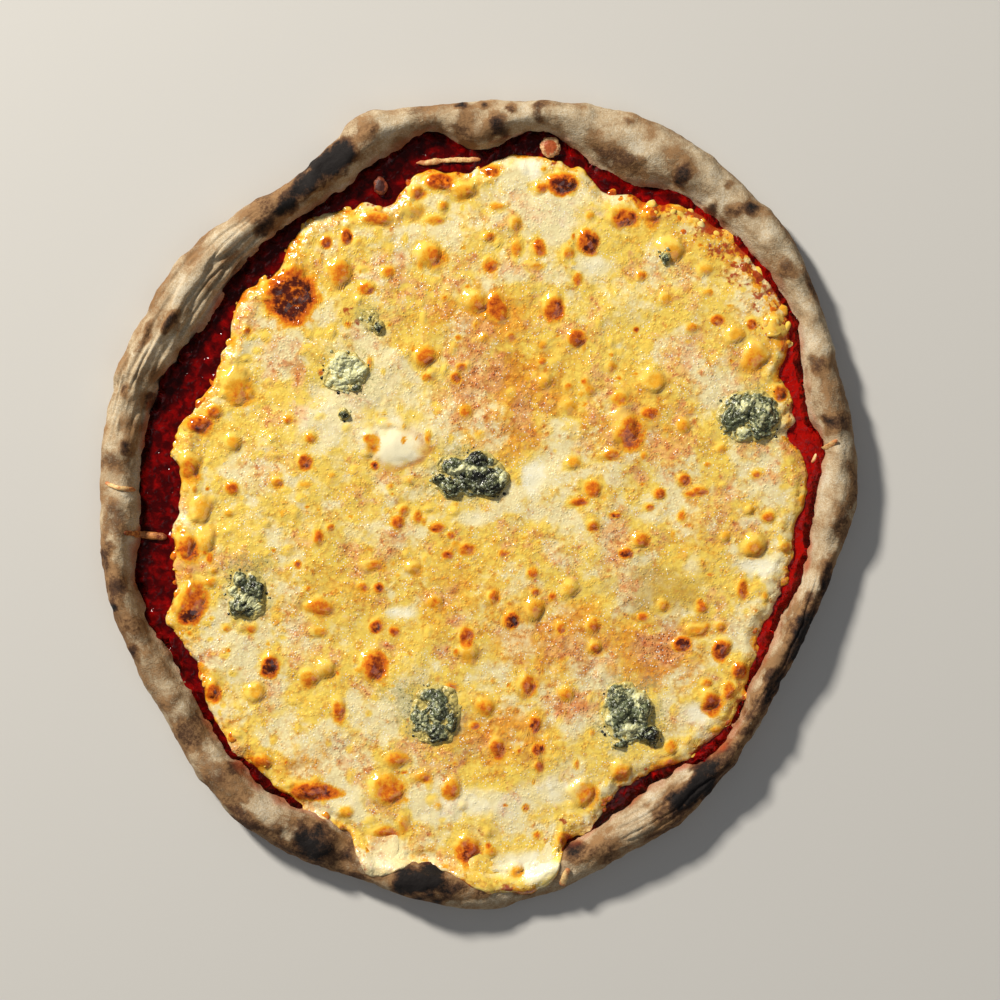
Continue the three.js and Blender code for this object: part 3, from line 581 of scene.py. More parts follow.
class Piece:
    """One modelled piece: a primitive that is shaped, closed, painted and handed to its body."""

    TOGETHER = 2e-6  # metres within which vertices are merged

    def __init__(self, name: str) -> None:
        """Takes the primitive that was just added."""
        self.object = bpy.context.object
        self.object.name = self.object.data.name = name

    @classmethod
    def add(cls, name: str, primitive: Callable, **sizes: float) -> "Piece":
        """Adds a primitive by its operator and takes it over.

        Args:
            name: The piece's name.
            primitive: The operator that adds it.
            **sizes: The operator's settings.

        Returns:
            The piece.
        """
        deselect()
        primitive(**sizes)
        return cls(name)

    @classmethod
    def band(cls, name: str, around: int, across: int) -> "Piece":
        """A strip of around steps and across stations, to be rolled into a ring by its places."""
        grid = bpy.ops.mesh.primitive_grid_add
        return cls.add(name, grid, x_subdivisions=across - 1, y_subdivisions=around, size=2)

    @classmethod
    def sheet(cls, name: str, cells: int) -> "Piece":
        """A square sheet two units wide."""
        grid = bpy.ops.mesh.primitive_grid_add
        return cls.add(name, grid, x_subdivisions=cells, y_subdivisions=cells, size=2)

    @classmethod
    def ball(cls, name: str, finer: int) -> "Piece":
        """A ball of unit radius, of triangles."""
        return cls.add(name, bpy.ops.mesh.primitive_ico_sphere_add, subdivisions=finer, radius=1)

    @classmethod
    def spindle(cls, name: str, around: int, along: int) -> "Piece":
        """A ball of unit radius with its poles on Z, cut into rings."""
        round_ball = bpy.ops.mesh.primitive_uv_sphere_add
        return cls.add(name, round_ball, segments=around, ring_count=along, radius=1)

    @classmethod
    def swarm(cls, name: str, finer: int, count: int) -> "Piece":
        """Many balls of unit radius in one mesh, one after another.

        Args:
            name: The piece's name.
            finer: How often each ball is subdivided.
            count: How many balls there are.

        Returns:
            The piece, with all balls at the origin.
        """
        piece = cls.ball(name, finer)
        mesh = piece.object.data
        unit = piece.points
        corners = np.array([face.vertices[:] for face in mesh.polygons])
        shift = np.arange(count)[:, None, None] * len(unit)
        mesh.clear_geometry()
        faces = (corners + shift).reshape(-1, 3)
        mesh.from_pydata(np.tile(unit, (count, 1)).tolist(), [], faces.tolist())
        return piece

    def roll(self, rows: Array) -> Array:
        """Rolls a strip up into a ring.

        Args:
            rows: The places of each step round the ring.

        Returns:
            The places of all vertices, where the last step's repeat the first's.
        """
        flat = np.concatenate([rows, rows[:1]]).reshape(-1, 3)
        self.put(flat)
        return flat

    @property
    def points(self) -> Array:
        """The vertices' places as the mesh holds them, one row each."""
        co = np.zeros(len(self.object.data.vertices) * 3)
        self.object.data.vertices.foreach_get("co", co)
        return co.reshape(-1, 3)

    def put(self, points: Array) -> None:
        """Moves the vertices to places in millimetres."""
        self.object.data.vertices.foreach_set("co", (points * MM).astype(np.float32).ravel())
        self.object.data.update()

    def paint(self, name: str, *channels: Array) -> None:
        """Stores values as a colour attribute.

        Args:
            name: The attribute's name.
            *channels: Up to three lists of values, from 0 to 1, one for each vertex.
        """
        values = np.ones((len(self.object.data.vertices), 4), np.float32)
        for i, channel in enumerate(channels):
            values[:, i] = np.clip(channel, 0, 1)
        layer = self.object.data.color_attributes.new(name, "FLOAT_COLOR", "POINT")
        layer.data.foreach_set("color", values.ravel())

    def close(self) -> None:
        """Merges what lies together, which shuts seams and poles, and turns the faces outwards."""
        deselect()
        self.object.select_set(True)
        bpy.context.view_layer.objects.active = self.object
        bpy.ops.object.mode_set(mode="EDIT")
        bpy.ops.mesh.select_all(action="SELECT")
        bpy.ops.mesh.remove_doubles(threshold=self.TOGETHER)
        bpy.ops.mesh.delete_loose(use_verts=True, use_edges=True, use_faces=False)
        bpy.ops.mesh.select_all(action="SELECT")
        bpy.ops.mesh.normals_make_consistent(inside=False)
        bpy.ops.object.mode_set(mode="OBJECT")

    def hand_over(self, material: bpy.types.Material, slot: str, nodes: Iterable[str]) -> None:
        """Shades the piece, dresses it and gives it to the body that carries it.

        Args:
            material: Its material.
            slot: Not used.
            nodes: The solids that it stands for.
        """
        for face in self.object.data.polygons:
            face.use_smooth = True
        self.object.data.materials.clear()
        self.object.data.materials.append(material)
        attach(self.object, BODY)
        named = list(nodes)
        if named:
            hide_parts(*named)
        triangles = sum(len(face.vertices) - 2 for face in self.object.data.polygons)
        stands_for = ", ".join(named) or "-"
        log.info("%s: %d triangles, stands for %s", self.object.name, triangles, stands_for)


# ---- Shaders ----------------------------------------------------------------------------------------


class Value:
    """A number that varies over a surface. Arithmetic on it adds Math nodes."""

    def __init__(self, paint: "Paint", socket: bpy.types.NodeSocket) -> None:
        """Wraps an output socket."""
        self.paint = paint
        self.socket = socket

    def _math(self, operation: str, first: Any, second: Any) -> "Value":
        """One Math node."""
        return self.paint.node("ShaderNodeMath", {"operation": operation}, {0: first, 1: second})

    def __add__(self, other: Any) -> "Value":
        """Sum."""
        return self._math("ADD", self, other)

    __radd__ = __add__

    def __sub__(self, other: Any) -> "Value":
        """Difference."""
        return self._math("SUBTRACT", self, other)

    def __rsub__(self, other: Any) -> "Value":
        """Difference from a number."""
        return self._math("SUBTRACT", other, self)

    def __mul__(self, other: Any) -> "Value":
        """Product."""
        return self._math("MULTIPLY", self, other)

    __rmul__ = __mul__

    def __abs__(self) -> "Value":
        """Size without sign."""
        return self.paint.node("ShaderNodeMath", {"operation": "ABSOLUTE"}, {0: self})

    def above(self, low: float, high: float) -> "Value":
        """0 at low and less, 1 at high and more, smooth between."""
        return self.paint.node(
            "ShaderNodeMapRange",
            {"interpolation_type": "SMOOTHSTEP"},
            {"Value": self, "From Min": low, "From Max": high},
        )


class Paint:
    """A material's node tree, built from values."""

    def __init__(self, name: str) -> None:
        """Starts an empty material that reads the object's own coordinates.

        Args:
            name: The material's name.
        """
        self.material = bpy.data.materials.new(name)
        self.material.use_nodes = True
        self.tree = self.material.node_tree
        self.tree.nodes.clear()
        self.place = self.node("ShaderNodeTexCoord", {}, {}, "Object")

    def node(
        self, kind: str, settings: dict[str, Any], sockets: dict[Any, Any], output: Any = 0
    ) -> Value:
        """Adds one node.

        Args:
            kind: The node's type.
            settings: Its settings, which are made first.
            sockets: Values or links for its inputs, by name or number.
            output: Which output is returned.

        Returns:
            The output, wrapped.
        """
        made = self.tree.nodes.new(kind)
        for key, value in settings.items():
            setattr(made, key, value)
        for key, value in sockets.items():
            if isinstance(value, Value):
                self.tree.links.new(value.socket, made.inputs[key])
            else:
                made.inputs[key].default_value = value
        return Value(self, made.outputs[output])

    def channels(self, name: str) -> list[Value]:
        """Reads the painted values of a colour attribute.

        Args:
            name: The attribute's name.

        Returns:
            Its three values.
        """
        colour = self.node("ShaderNodeAttribute", {"attribute_name": name}, {}, "Color")
        split = self.node("ShaderNodeSeparateColor", {}, {"Color": colour})
        return [Value(self, output) for output in split.socket.node.outputs]

    def noise(self, size: float, detail: float = 3, warp: float = 0, offset: float = 0) -> Value:
        """Cloudy noise from 0 to 1.

        Args:
            size: Width of its clouds in millimetres.
            detail: How many finer layers it has.
            warp: How strongly it is pulled about.
            offset: How far it is shifted, in metres, so that no two noises line up.

        Returns:
            The noise.
        """
        place = self.place
        if offset:
            shift = (offset, offset, offset)
            place = self.node("ShaderNodeVectorMath", {"operation": "ADD"}, {0: place, 1: shift})
        return self.node(
            "ShaderNodeTexNoise",
            {},
            {"Vector": place, "Scale": 1 / (size * MM), "Detail": detail, "Distortion": warp},
            "Fac",
        )

    def cells(self, size: float, warp: float = 0.0) -> Value:
        """Distance to the nearest of scattered points, where 1 is their spacing.

        Args:
            size: How far apart the points are, in millimetres.
            warp: How far the pattern is pulled about, in millimetres.

        Returns:
            The distance.
        """
        place = self.place
        if warp:
            spread = {"Vector": place, "Scale": 1 / (size * MM)}
            sway = self.node("ShaderNodeTexNoise", {}, spread, "Color")
            reach = (warp * MM, warp * MM, warp * MM)
            place = self.node(
                "ShaderNodeVectorMath", {"operation": "MULTIPLY_ADD"}, {0: sway, 1: reach, 2: place}
            )
        return self.node(
            "ShaderNodeTexVoronoi", {}, {"Vector": place, "Scale": 1 / (size * MM)}, "Distance"
        )

    def mix(self, share: Any, first: Any, second: Any) -> Value:
        """A colour between two colours."""
        return self.node(
            "ShaderNodeMix",
            {"data_type": "RGBA", "clamp_factor": True},
            {0: share, 6: first, 7: second},
            2,
        )

    def bump(self, height: Value) -> Value:
        """Fine relief of a height in millimetres."""
        return self.node(
            "ShaderNodeBump", {}, {"Height": height, "Distance": MM, "Strength": 1.0}, "Normal"
        )

    def finish(self, **sockets: Any) -> bpy.types.Material:
        """Ends the tree in one shader.

        Args:
            **sockets: The shader's sockets, each by its name with _ for a space.

        Returns:
            The finished material.
        """
        named = {key.replace("_", " "): value for key, value in sockets.items()}
        shader = self.node("ShaderNodeBsdfPrincipled", {}, named)
        end = self.tree.nodes.new("ShaderNodeOutputMaterial")
        self.tree.links.new(shader.socket, end.inputs["Surface"])
        return self.material


@dataclass(frozen=True)
class DoughFinish:
    """Baked dough, toasted tan to soot, under a dusting of flour that the scorches burnt off."""

    tan: Colour = linear(146, 111, 74)
    hazel: Colour = linear(104, 72, 44)
    cream: Colour = linear(192, 171, 138)
    flour: Colour = linear(212, 201, 178)
    brown: Colour = linear(76, 50, 33)
    soot: Colour = linear(24, 19, 18)
    stain: Colour = linear(168, 66, 26)

    def material(self) -> bpy.types.Material:
        """Layers the dough's material: toasted skin, then flour, then soot and sauce stains.

        Returns:
            The material. It reads bake, which is scorching with some painted shade, toast and stain, and
            dust, which is flour.
        """
        paint = Paint("floury_dough")
        scorch_and_shade, toast, stain = paint.channels("bake")
        flour, _, _ = paint.channels("dust")
        cloud = paint.noise(9, 3, 0.4)
        grain = paint.noise(1.3, 3, offset=3.1)
        dust = paint.noise(0.5, 1, offset=7.7)
        colour = paint.mix((cloud * 0.6 + grain * 0.4).above(0.4, 0.64), self.tan, self.hazel)
        # This channel of bake holds scorching and some broad patches of painted shade, and darkens towards
        # brown and soot.
        heat = scorch_and_shade * 1.15 + (cloud - 0.5) * 0.7 + (grain - 0.5) * 0.6 + (dust - 0.5) * 0.4
        colour = paint.mix(heat.above(0.3, 0.7) * 0.9, colour, self.brown)
        cover = 0.92 - toast * 0.85 + (cloud - 0.5) * 1.9 + (grain - 0.5) * 0.9 + (dust - 0.5) * 0.7
        cover = cover + (flour - 0.5) * 0.5 - scorch_and_shade * 1.1
        colour = paint.mix(cover.above(0.2, 1.05) * 0.92, colour, self.cream)
        colour = paint.mix((cover + (dust - 0.5) * 0.8).above(0.9, 1.4) * 0.7, colour, self.flour)
        colour = paint.mix(heat.above(0.62, 1.02), colour, self.soot)
        colour = paint.mix(stain * (grain * 0.8 + 0.4), colour, self.stain)
        skin = paint.bump(grain * 0.26 + dust * 0.22)
        return paint.finish(
            Base_Color=colour, Roughness=0.85 + (grain - 0.5) * 0.2, Normal=skin, IOR=1.35
        )


@dataclass(frozen=True)
class SauceFinish:
    """Wet cooked tomato with darker, drier pulp, painted brighter towards +X as painted light."""

    red: Colour = linear(126, 3, 3)
    deep: Colour = linear(58, 1, 2)
    bright: Colour = linear(166, 12, 5)
    crisp: Colour = linear(44, 7, 5)

    def material(self) -> bpy.types.Material:
        """Layers the sauce's material.

        Returns:
            The material. It reads pulp, which is dryness and painted light that brightens the sauce
            towards +X.
        """
        paint = Paint("tomato_sauce_wet")
        dry, lit, _ = paint.channels("pulp")
        pulp = paint.noise(3.4, 2, 0.4)
        fine = paint.noise(0.8, 3, offset=2.2)
        # Painted light: lit moves the sauce from deep red towards red and bright red on the right, over
        # the pulp's own random tone.
        body = pulp * 0.84 + fine * 0.16 + lit * 0.14 - 0.05
        colour = paint.mix(body.above(0.34, 0.66), self.deep, self.red)
        shine = fine * 0.35 + pulp * 0.65 + lit * 0.3 - 0.1
        colour = paint.mix(shine.above(0.5, 0.76), colour, self.bright)
        colour = paint.mix(dry * fine.above(0.4, 0.6), colour, self.crisp)
        skin = paint.bump(pulp * 0.9 + fine * 0.08)
        gloss = 0.07 + dry * 0.35 + fine.above(0.45, 0.75) * 0.1
        return paint.finish(
            Base_Color=colour, Roughness=gloss, Normal=skin, IOR=1.36, Specular_IOR_Level=0.34
        )


@dataclass(frozen=True)
class MeltedFinish:
    """Oily melted cheese: cream and yellow, pink over the sauce, browned on its blisters."""

    cream: Colour = linear(247, 232, 176)
    ivory: Colour = linear(254, 246, 212)
    yellow: Colour = linear(248, 215, 96)
    gold: Colour = linear(239, 172, 42)
    lemon: Colour = linear(250, 209, 88)
    honey: Colour = linear(238, 164, 44)
    toffee: Colour = linear(176, 104, 30)
    orange: Colour = linear(222, 114, 18)
    rust: Colour = linear(168, 66, 14)
    umber: Colour = linear(78, 24, 10)
    amber: Colour = linear(242, 156, 54)
    rose: Colour = linear(243, 184, 122)
    sienna: Colour = linear(192, 76, 30)
    coral: Colour = linear(234, 120, 50)
    wine: Colour = linear(164, 44, 18)
    olive: Colour = linear(196, 158, 62)
    mould: Colour = linear(168, 164, 108)
    speck: Colour = linear(54, 58, 40)
    pore: Colour = linear(112, 52, 18)
    glint: Colour = linear(255, 252, 238)

    def material(self) -> bpy.types.Material:
        """Layers the cheese's material.

        Returns:
            The material. It reads browning, which is brown, char and red; oil, which is yellow,
            olive and cream; tint, which is pink, grey and warm; and blister, which is body and the foot's
            painted shade.
        """
        paint = Paint("melted_cheese_oily")
        brown, char, red = paint.channels("browning")
        yellow, olive, cream = paint.channels("oil")
        pink, grey, warm = paint.channels("tint")
        body, foot, _ = paint.channels("blister")
        haze = paint.noise(15, 2, offset=3.3)
        patch = paint.noise(5.5, 3, 0.8)
        blot = paint.noise(3.0, 3, offset=5.5)
        curd = paint.noise(1.7, 2, offset=1.7)
        fleck = paint.noise(0.75, 1, offset=9.3)
        mottle = paint.noise(2.1, 2, offset=31.0)
        froth = paint.cells(1.1)
        bubble = paint.cells(2.4, 1.7)

        # Cream to yellow to gold, with amber washes and toasted clouds.
        soft = haze * 0.45 + patch * 0.4 + curd * 0.15 + yellow * 0.3 - cream * 0.3
        colour = paint.mix(soft.above(0.42, 0.64), self.cream, self.yellow)
        ripe = blot * 0.45 + haze * 0.35 + curd * 0.2 + warm * 0.22 + yellow * 0.04 - cream * 0.3
        colour = paint.mix(ripe.above(0.48, 0.74) * 0.8, colour, self.gold)
        glow = warm * 0.9 + (patch - 0.5) * 1.2 + (haze - 0.5) * 0.6 - cream * 0.6
        colour = paint.mix(glow.above(0.2, 0.95) * 0.62, colour, self.amber)
        web = abs(paint.noise(5.0, 3, 1.2, 11.0) - 0.5)
        threads = (1 - web * 11).above(0.0, 1.0) * blot.above(0.35, 0.6)
        singed = blot * 0.6 + curd * 0.4 + warm * 0.16 + threads * 0.06 - cream * 0.3
        colour = paint.mix(singed.above(0.6, 0.84) * 0.7, colour, self.orange)
        tarnish = paint.noise(7.0, 3, offset=13.0) * 0.65 + curd * 0.35 + warm * 0.08 - cream * 0.25
        colour = paint.mix(tarnish.above(0.54, 0.76) * 0.6, colour, self.toffee)
        colour = paint.mix((olive + (blot - 0.5) * 0.8).above(0.25, 0.9) * 0.7, colour, self.olive)

        # Pink where the sauce baked through, with fine red veins.
        sore = pink * 0.8 + (patch - 0.5) * 1.1 + (curd - 0.5) * 0.6
        colour = paint.mix(sore.above(0.15, 0.65) * 0.75, colour, self.rose)
        flush = (sore + (blot - 0.5) * 1.4).above(0.5, 1.1)
        colour = paint.mix(flush * 0.5, colour, self.coral)
        veins = (sore + 0.15).above(0.1, 0.7) * threads * (0.2 + curd * 0.9)
        colour = paint.mix(veins * 0.8, colour, self.sienna)

        # Froth: brown seams and rims, milky pools, pores, and tiny white specks as painted highlights.
        stain = blot * 0.5 + warm * 0.35 + pink * 0.35 + yellow * 0.1 - cream * 0.5
        seam = bubble.above(0.3, 0.8) * stain
        colour = paint.mix(seam.above(0.15, 0.8) * 0.5 * (1 - body), colour, self.toffee)
        milk = cream * 0.95 + (patch - 0.5) * 0.8 + (curd - 0.5) * 0.15 - brown * 0.8 - warm * 0.1
        colour = paint.mix(milk.above(0.2, 0.75) * (0.4 + patch * 1.1), colour, self.ivory)
        rims = froth.above(0.4, 0.85) * (0.2 + blot * 0.9 + warm * 0.2 - cream * 0.8)
        colour = paint.mix(rims * (1 - body) * 0.34, colour, self.toffee)
        holes = (1 - froth) * 0.5 + blot * 0.3 + pink * 0.12 + warm * 0.04 - cream * 0.15
        colour = paint.mix(holes.above(0.6, 0.69) * 0.75, colour, self.pore)
        # Painted highlights: clusters of tiny white specks that stand for glints.
        stars = (0.26 - paint.cells(1.2)).above(0.0, 0.1)
        swarm = (paint.noise(6.0, 1, offset=21.0) + pink * 0.05 + grey * 0.08).above(0.46, 0.58)
        colour = paint.mix(stars * swarm * 0.85, colour, self.glint)

        # Blisters: an oily body, painted shade at the lower-right foot, and browning up to char.
        glaze = body * (1 - cream)
        colour = paint.mix(glaze * 0.6, colour, self.lemon)
        toasting = (brown + (blot - 0.5) * 0.8).above(0.1, 0.5)
        colour = paint.mix(glaze * toasting * 0.8, colour, self.honey)
        # Painted shade: toffee on the lower-right side of each blister's foot.
        colour = paint.mix(foot * (0.3 + blot * 0.7), colour, self.toffee)
        heat = brown * (mottle * 1.7 + fleck * 0.3) + (curd - 0.5) * 0.2 + (fleck - 0.5) * 0.24
        colour = paint.mix(heat.above(0.1, 0.4), colour, self.gold)
        colour = paint.mix(heat.above(0.32, 0.74), colour, self.orange)
        colour = paint.mix(heat.above(0.64, 1.12), colour, self.rust)
        colour = paint.mix((red + (curd - 0.5) * 1.2).above(0.4, 0.8) * 0.9, colour, self.wine)
        burnt = char * 0.9 + (fleck - 0.5) * 0.5 + (mottle - 0.5) * 1.8
        colour = paint.mix(burnt.above(0.4, 1.0), colour, self.umber)

        # Grey-green haloes with dark specks round the blue lumps.
        stale = grey + (curd - 0.5) * 0.9 + (fleck - 0.5) * 0.9
        colour = paint.mix(stale.above(0.3, 0.85) * 0.6, colour, self.mould)
        colour = paint.mix((stale + (fleck - 0.5)).above(0.9, 1.2) * 0.8, colour, self.speck)

        rough = (1 - cream * 0.6) * (1 - body * 0.8)
        lively = (haze * 0.5 + blot * 0.5).above(0.38, 0.62)
        domes = (0.8 - bubble).above(0.0, 0.75) * lively * rough
        foam = (1 - froth).above(0.4, 0.95) * (blot + pink * 0.2).above(0.42, 0.6) * rough
        skin = paint.bump((patch * 0.2 + curd * 0.05) * rough + domes * 0.2 + foam * 0.15)
        return paint.finish(
            Base_Color=colour,
            Roughness=0.19 - yellow * 0.05 - body * 0.1 + (curd - 0.5) * 0.22,
            Normal=skin,
            IOR=1.46,
            Coat_Weight=0.5,
            Coat_Roughness=0.07,
        )


@dataclass(frozen=True)
class BlueFinish:
    """Crumbly blue cheese: grey-green paste with nearly black veins and white specks, part crystals and
    part painted glints.
    """

    paste: Colour = linear(118, 126, 92)
    pale: Colour = linear(214, 212, 158)
    slate: Colour = linear(62, 64, 42)
    vein: Colour = linear(15, 14, 7)
    crystal_and_glint: Colour = linear(214, 220, 200)
    melt: Colour = linear(204, 184, 104)

    def material(self) -> bpy.types.Material:
        """Layers the blue cheese's material.

        Returns:
            The material. It reads mould, which is darkness with painted shade in the crevices, melt, and
            paleness with painted highlights on the grains' tops.
        """
        paint = Paint("blue_cheese_crumbly")
        dark, melt, light = paint.channels("mould")
        vein = paint.noise(2.6, 4, 1.2)
        grain = paint.noise(1.2, 3, offset=4.4)
        crystal_and_glint = paint.noise(0.85, 2, offset=8.8)
        colour = paint.mix((vein * 0.6 + grain * 0.4).above(0.42, 0.6), self.slate, self.paste)
        # Paler parts, with the painted highlights that the light channel carries on the grains' tops.
        paleness = light + (grain - 0.5) + (vein - 0.5) * 0.5
        colour = paint.mix(paleness.above(0.3, 0.8), colour, self.pale)
        # Dark veins and dark parts, with the painted shade of the crevices that the dark channel carries.
        shade = dark + (vein - 0.5) + (grain - 0.5) * 0.8
        colour = paint.mix(shade.above(0.4, 0.75), colour, self.vein)
        # White specks: crystals, partly standing in as painted highlights.
        colour = paint.mix((crystal_and_glint + light * 0.05).above(0.61, 0.7) * 0.8, colour, self.crystal_and_glint)
        colour = paint.mix((melt + (grain - 0.5) * 0.9).above(0.4, 0.9) * 0.9, colour, self.melt)
        skin = paint.bump(grain * 0.35 + crystal_and_glint * 0.2)
        return paint.finish(Base_Color=colour, Roughness=0.1 + grain * 0.3, Normal=skin, IOR=1.46)


@dataclass(frozen=True)
class ShredFinish:
    """A dried shred or crumb of cheese, pale or toasted."""

    name: str
    light: Colour
    dark: Colour

    def material(self) -> bpy.types.Material:
        """Layers the shred's material.

        Returns:
            The material. It reads toast, which is how toasted the shred is.
        """
        paint = Paint(self.name)
        cloud = paint.noise(2.2, 4)
        grain = paint.noise(0.6, 3, offset=2.5)
        core, _, _ = paint.channels("toast")
        toasted = cloud * 0.5 + core * 0.8 + (grain - 0.5) * 0.4
        colour = paint.mix(toasted.above(0.16, 0.4), self.light, self.dark)
        skin = paint.bump(grain * 0.2)
        return paint.finish(Base_Color=colour, Roughness=0.35 + grain * 0.3, Normal=skin, IOR=1.45)


# ---- Sub-assemblies -----------------------------------------------------------------------------------


@dataclass
class Crust:
    """The bread: a puffed rim and the thin base that it runs into."""

    dough: Dough
    around: int = 800
    rim_stations: int = 92
    underside_stations: int = 24
    base_stations: int = 4
    crag: float = 0.7  # heights of the relief
    pimple: float = 0.28
    wrinkle: float = 1.15
    blister: float = 0.9
    blotch: float = 0.16
    rim_from: Span = (118, 132)  # radii between which the relief sets in
    face_up: Span = (0.4, 3.0)  # heights between which the underside turns into the rim

    def build(self) -> Piece:
        """Makes the bread as one closed skin, from the underside's middle to the base's.

        Returns:
            The painted piece.
        """
        across = self.underside_stations + self.rim_stations + self.base_stations
        piece = Piece.band("crust_bread", self.around, across)
        rows = self.dough.section_rows(self.around, self.dough.even_stations(self.rim_stations))
        under = self._run_in(rows[:, 0], self.underside_stations)[:, ::-1]
        base = self._run_in(rows[:, -1], self.base_stations)
        rows = np.concatenate([under, rows, base], axis=1)
        angle = np.linspace(0, 2 * np.pi, self.around, endpoint=False)[:, None]
        x = rows[..., 0] * np.cos(angle) + self.dough.pole[0]
        y = rows[..., 0] * np.sin(angle) + self.dough.pole[1]
        skin = np.stack([x, y, rows[..., 1]], axis=-1)
        flat = piece.roll(self._keep_in_box(self._roughen(skin)).reshape(skin.shape))
        scorch_and_shade, toast, stain, flour = self._bake(flat)
        piece.paint("bake", scorch_and_shade, toast, stain)
        piece.paint("dust", flour)
        piece.close()
        return piece

    @staticmethod
    def _run_in(ring: Array, count: int) -> Array:
        """Runs from a ring straight in to the middle, at the ring's height.

        Args:
            ring: Radius and height of each point of the ring.
            count: How many stations there are on the way.

        Returns:
            Radius and height of each station, outermost first.
        """
        share = 1 - np.arange(1, count + 1) / count
        radius = ring[:, None, 0] * share
        return np.stack([radius, np.repeat(ring[:, 1:], count, axis=1)], axis=-1)

    def _roughen(self, skin: Array) -> Array:
        """Raises crags, pimples, wrinkles and scorches along the skin's normals.

        Args:
            skin: Smooth places, by step round the pizza and station.

        Returns:
            The moved places, one row each.
        """
        along = np.roll(skin, -1, axis=0) - np.roll(skin, 1, axis=0)
        over = np.gradient(skin, axis=1)
        normal = np.cross(along, over)
        length = np.linalg.norm(normal, axis=-1, keepdims=True)
        normal = (normal / np.maximum(length, 1e-9)).reshape(-1, 3)
        flat = skin.reshape(-1, 3)
        rim = smooth(np.hypot(flat[:, 0], flat[:, 1]), *self.rim_from)
        face_up = smooth(flat[:, 2], *self.face_up)
        outward = np.sign(np.sum(normal[:, :2] * flat[:, :2], axis=1).mean()) or 1.0
        normal = normal * outward
        lift = self.crag * ripple(flat, 9, 11, 4)
        lift += self.pimple * ripple(flat, 2.6, 23, 3)
        lift += self._wrinkles(flat)
        lift += self.blister * self._scorch_and_shade(flat) * (0.4 + 0.6 * ripple(flat, 5, 31, 2))
        under = self.blotch * (1 + ripple(flat, 14, 41, 3))
        moved = flat + normal * (lift * rim * face_up)[:, None]
        _, radius = self.dough.polar(flat[:, 0], flat[:, 1])
        moved[:, 2] += under * (1 - face_up) * smooth(radius, 10, 30)
        return moved

    def _wrinkles(self, flat: Array) -> Array:
        """Cuts long folds that run along the rim on its upper left and lower right.

        Args:
            flat: Places on the skin.

        Returns:
            How far each is lifted, at most 0.
        """
        angle, radius = self.dough.polar(flat[:, 0], flat[:, 1])
        here = smooth(angle, 124, 134) * (1 - smooth(angle, 164, 172))
        there = smooth(angle, 288, 296) * (1 - smooth(angle, 344, 352)) * 0.6
        stretched = np.stack([angle * 0.35, radius * 1.4, flat[:, 2] * 0.9], axis=1)
        ridge = 1 - np.abs(ripple(stretched, 5, 53, 2)) * 2
        return -self.wrinkle * smooth(ridge, 0.45, 1.0) * (here + there)

    def _scorch_and_shade(self, flat: Array) -> Array:
        """Finds how scorched the dough is, with some broad patches of painted shade added.

        Args:
            flat: Places on the skin.

        Returns:
            0 where it is pale, and about 1 where it is burnt.
        """
        warp = 2.2 * ripple(flat, 8, 61, 3), 2.2 * ripple(flat, 8, 63, 3)
        angle, radius = self.dough.polar(flat[:, 0] + warp[0], flat[:, 1] + warp[1])
        ragged = 0.4 * ripple(flat, 4, 65, 3)
        total = np.zeros(len(flat))
        for mark_angle, mark_radius, length, width, depth in SCORCHES_AND_SHADE:
            turn = np.mod(angle - mark_angle + 180, 360) - 180
            along = np.radians(turn) * radius / (length * PIXEL)
            across = (radius - mark_radius * PIXEL) / (width * PIXEL)
            reach = np.sqrt(along**2 + across**2) + ragged
            total = np.maximum(total, depth * (1 - smooth(reach, 0.2, 1.6)))
        return total * smooth(flat[:, 2], 2.0, 5.0)

    def _bake(self, flat: Array) -> list[Array]:
        """Works out what is painted on the skin.

        Args:
            flat: Places on the skin.

        Returns:
            Scorch with some painted shade, toast that also follows that shade, sauce stain and flour.
        """
        angle, radius = self.dough.polar(flat[:, 0], flat[:, 1])
        inner = self.dough.inner_edge(angle)
        outer = self.dough.outer_edge(angle)
        underside = 1 - smooth(flat[:, 2], 0.5, 2.5)
        leopard = smooth(ripple(flat, 17, 71, 3), 0.1, 0.55) * 0.75
        # Scorching, with the broad patches of painted shade from the marks' table.
        scorch_and_shade = np.maximum(self._scorch_and_shade(flat), underside * leopard)
        side = smooth(radius, 0, 1) * (1 - smooth(outer - radius, 0.5, 5.0)) * (1 - underside)
        toast = 0.3 * side + 0.5 * smooth(ripple(flat, 16, 73, 3), -0.1, 0.5) + 0.4 * underside
        # Toast follows the marks, so it carries the patches of painted shade too.
        toast += 0.45 * smooth(self._scorch_and_shade(flat), 0.05, 0.4)
        past_sauce = radius - inner + 1.6 * ripple(flat, 6, 79, 2)
        stain = (1 - smooth(past_sauce, -0.5, 2.6)) * (1 - underside)
        patches = smooth(ripple(flat, 9, 83, 2), 0.2, 0.6)
        stain = stain * (0.55 + 0.45 * patches) * smooth(radius, 120, 130)
        flour = 0.5 + 0.5 * ripple(flat, 12, 89, 3)
        return [scorch_and_shade, toast, stain, flour]

    def _keep_in_box(self, flat: Array) -> Array:
        """Keeps the bread within the crust's solid's box."""
        low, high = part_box("crust")
        return np.clip(flat, np.array(low) / MM, np.array(high) / MM)


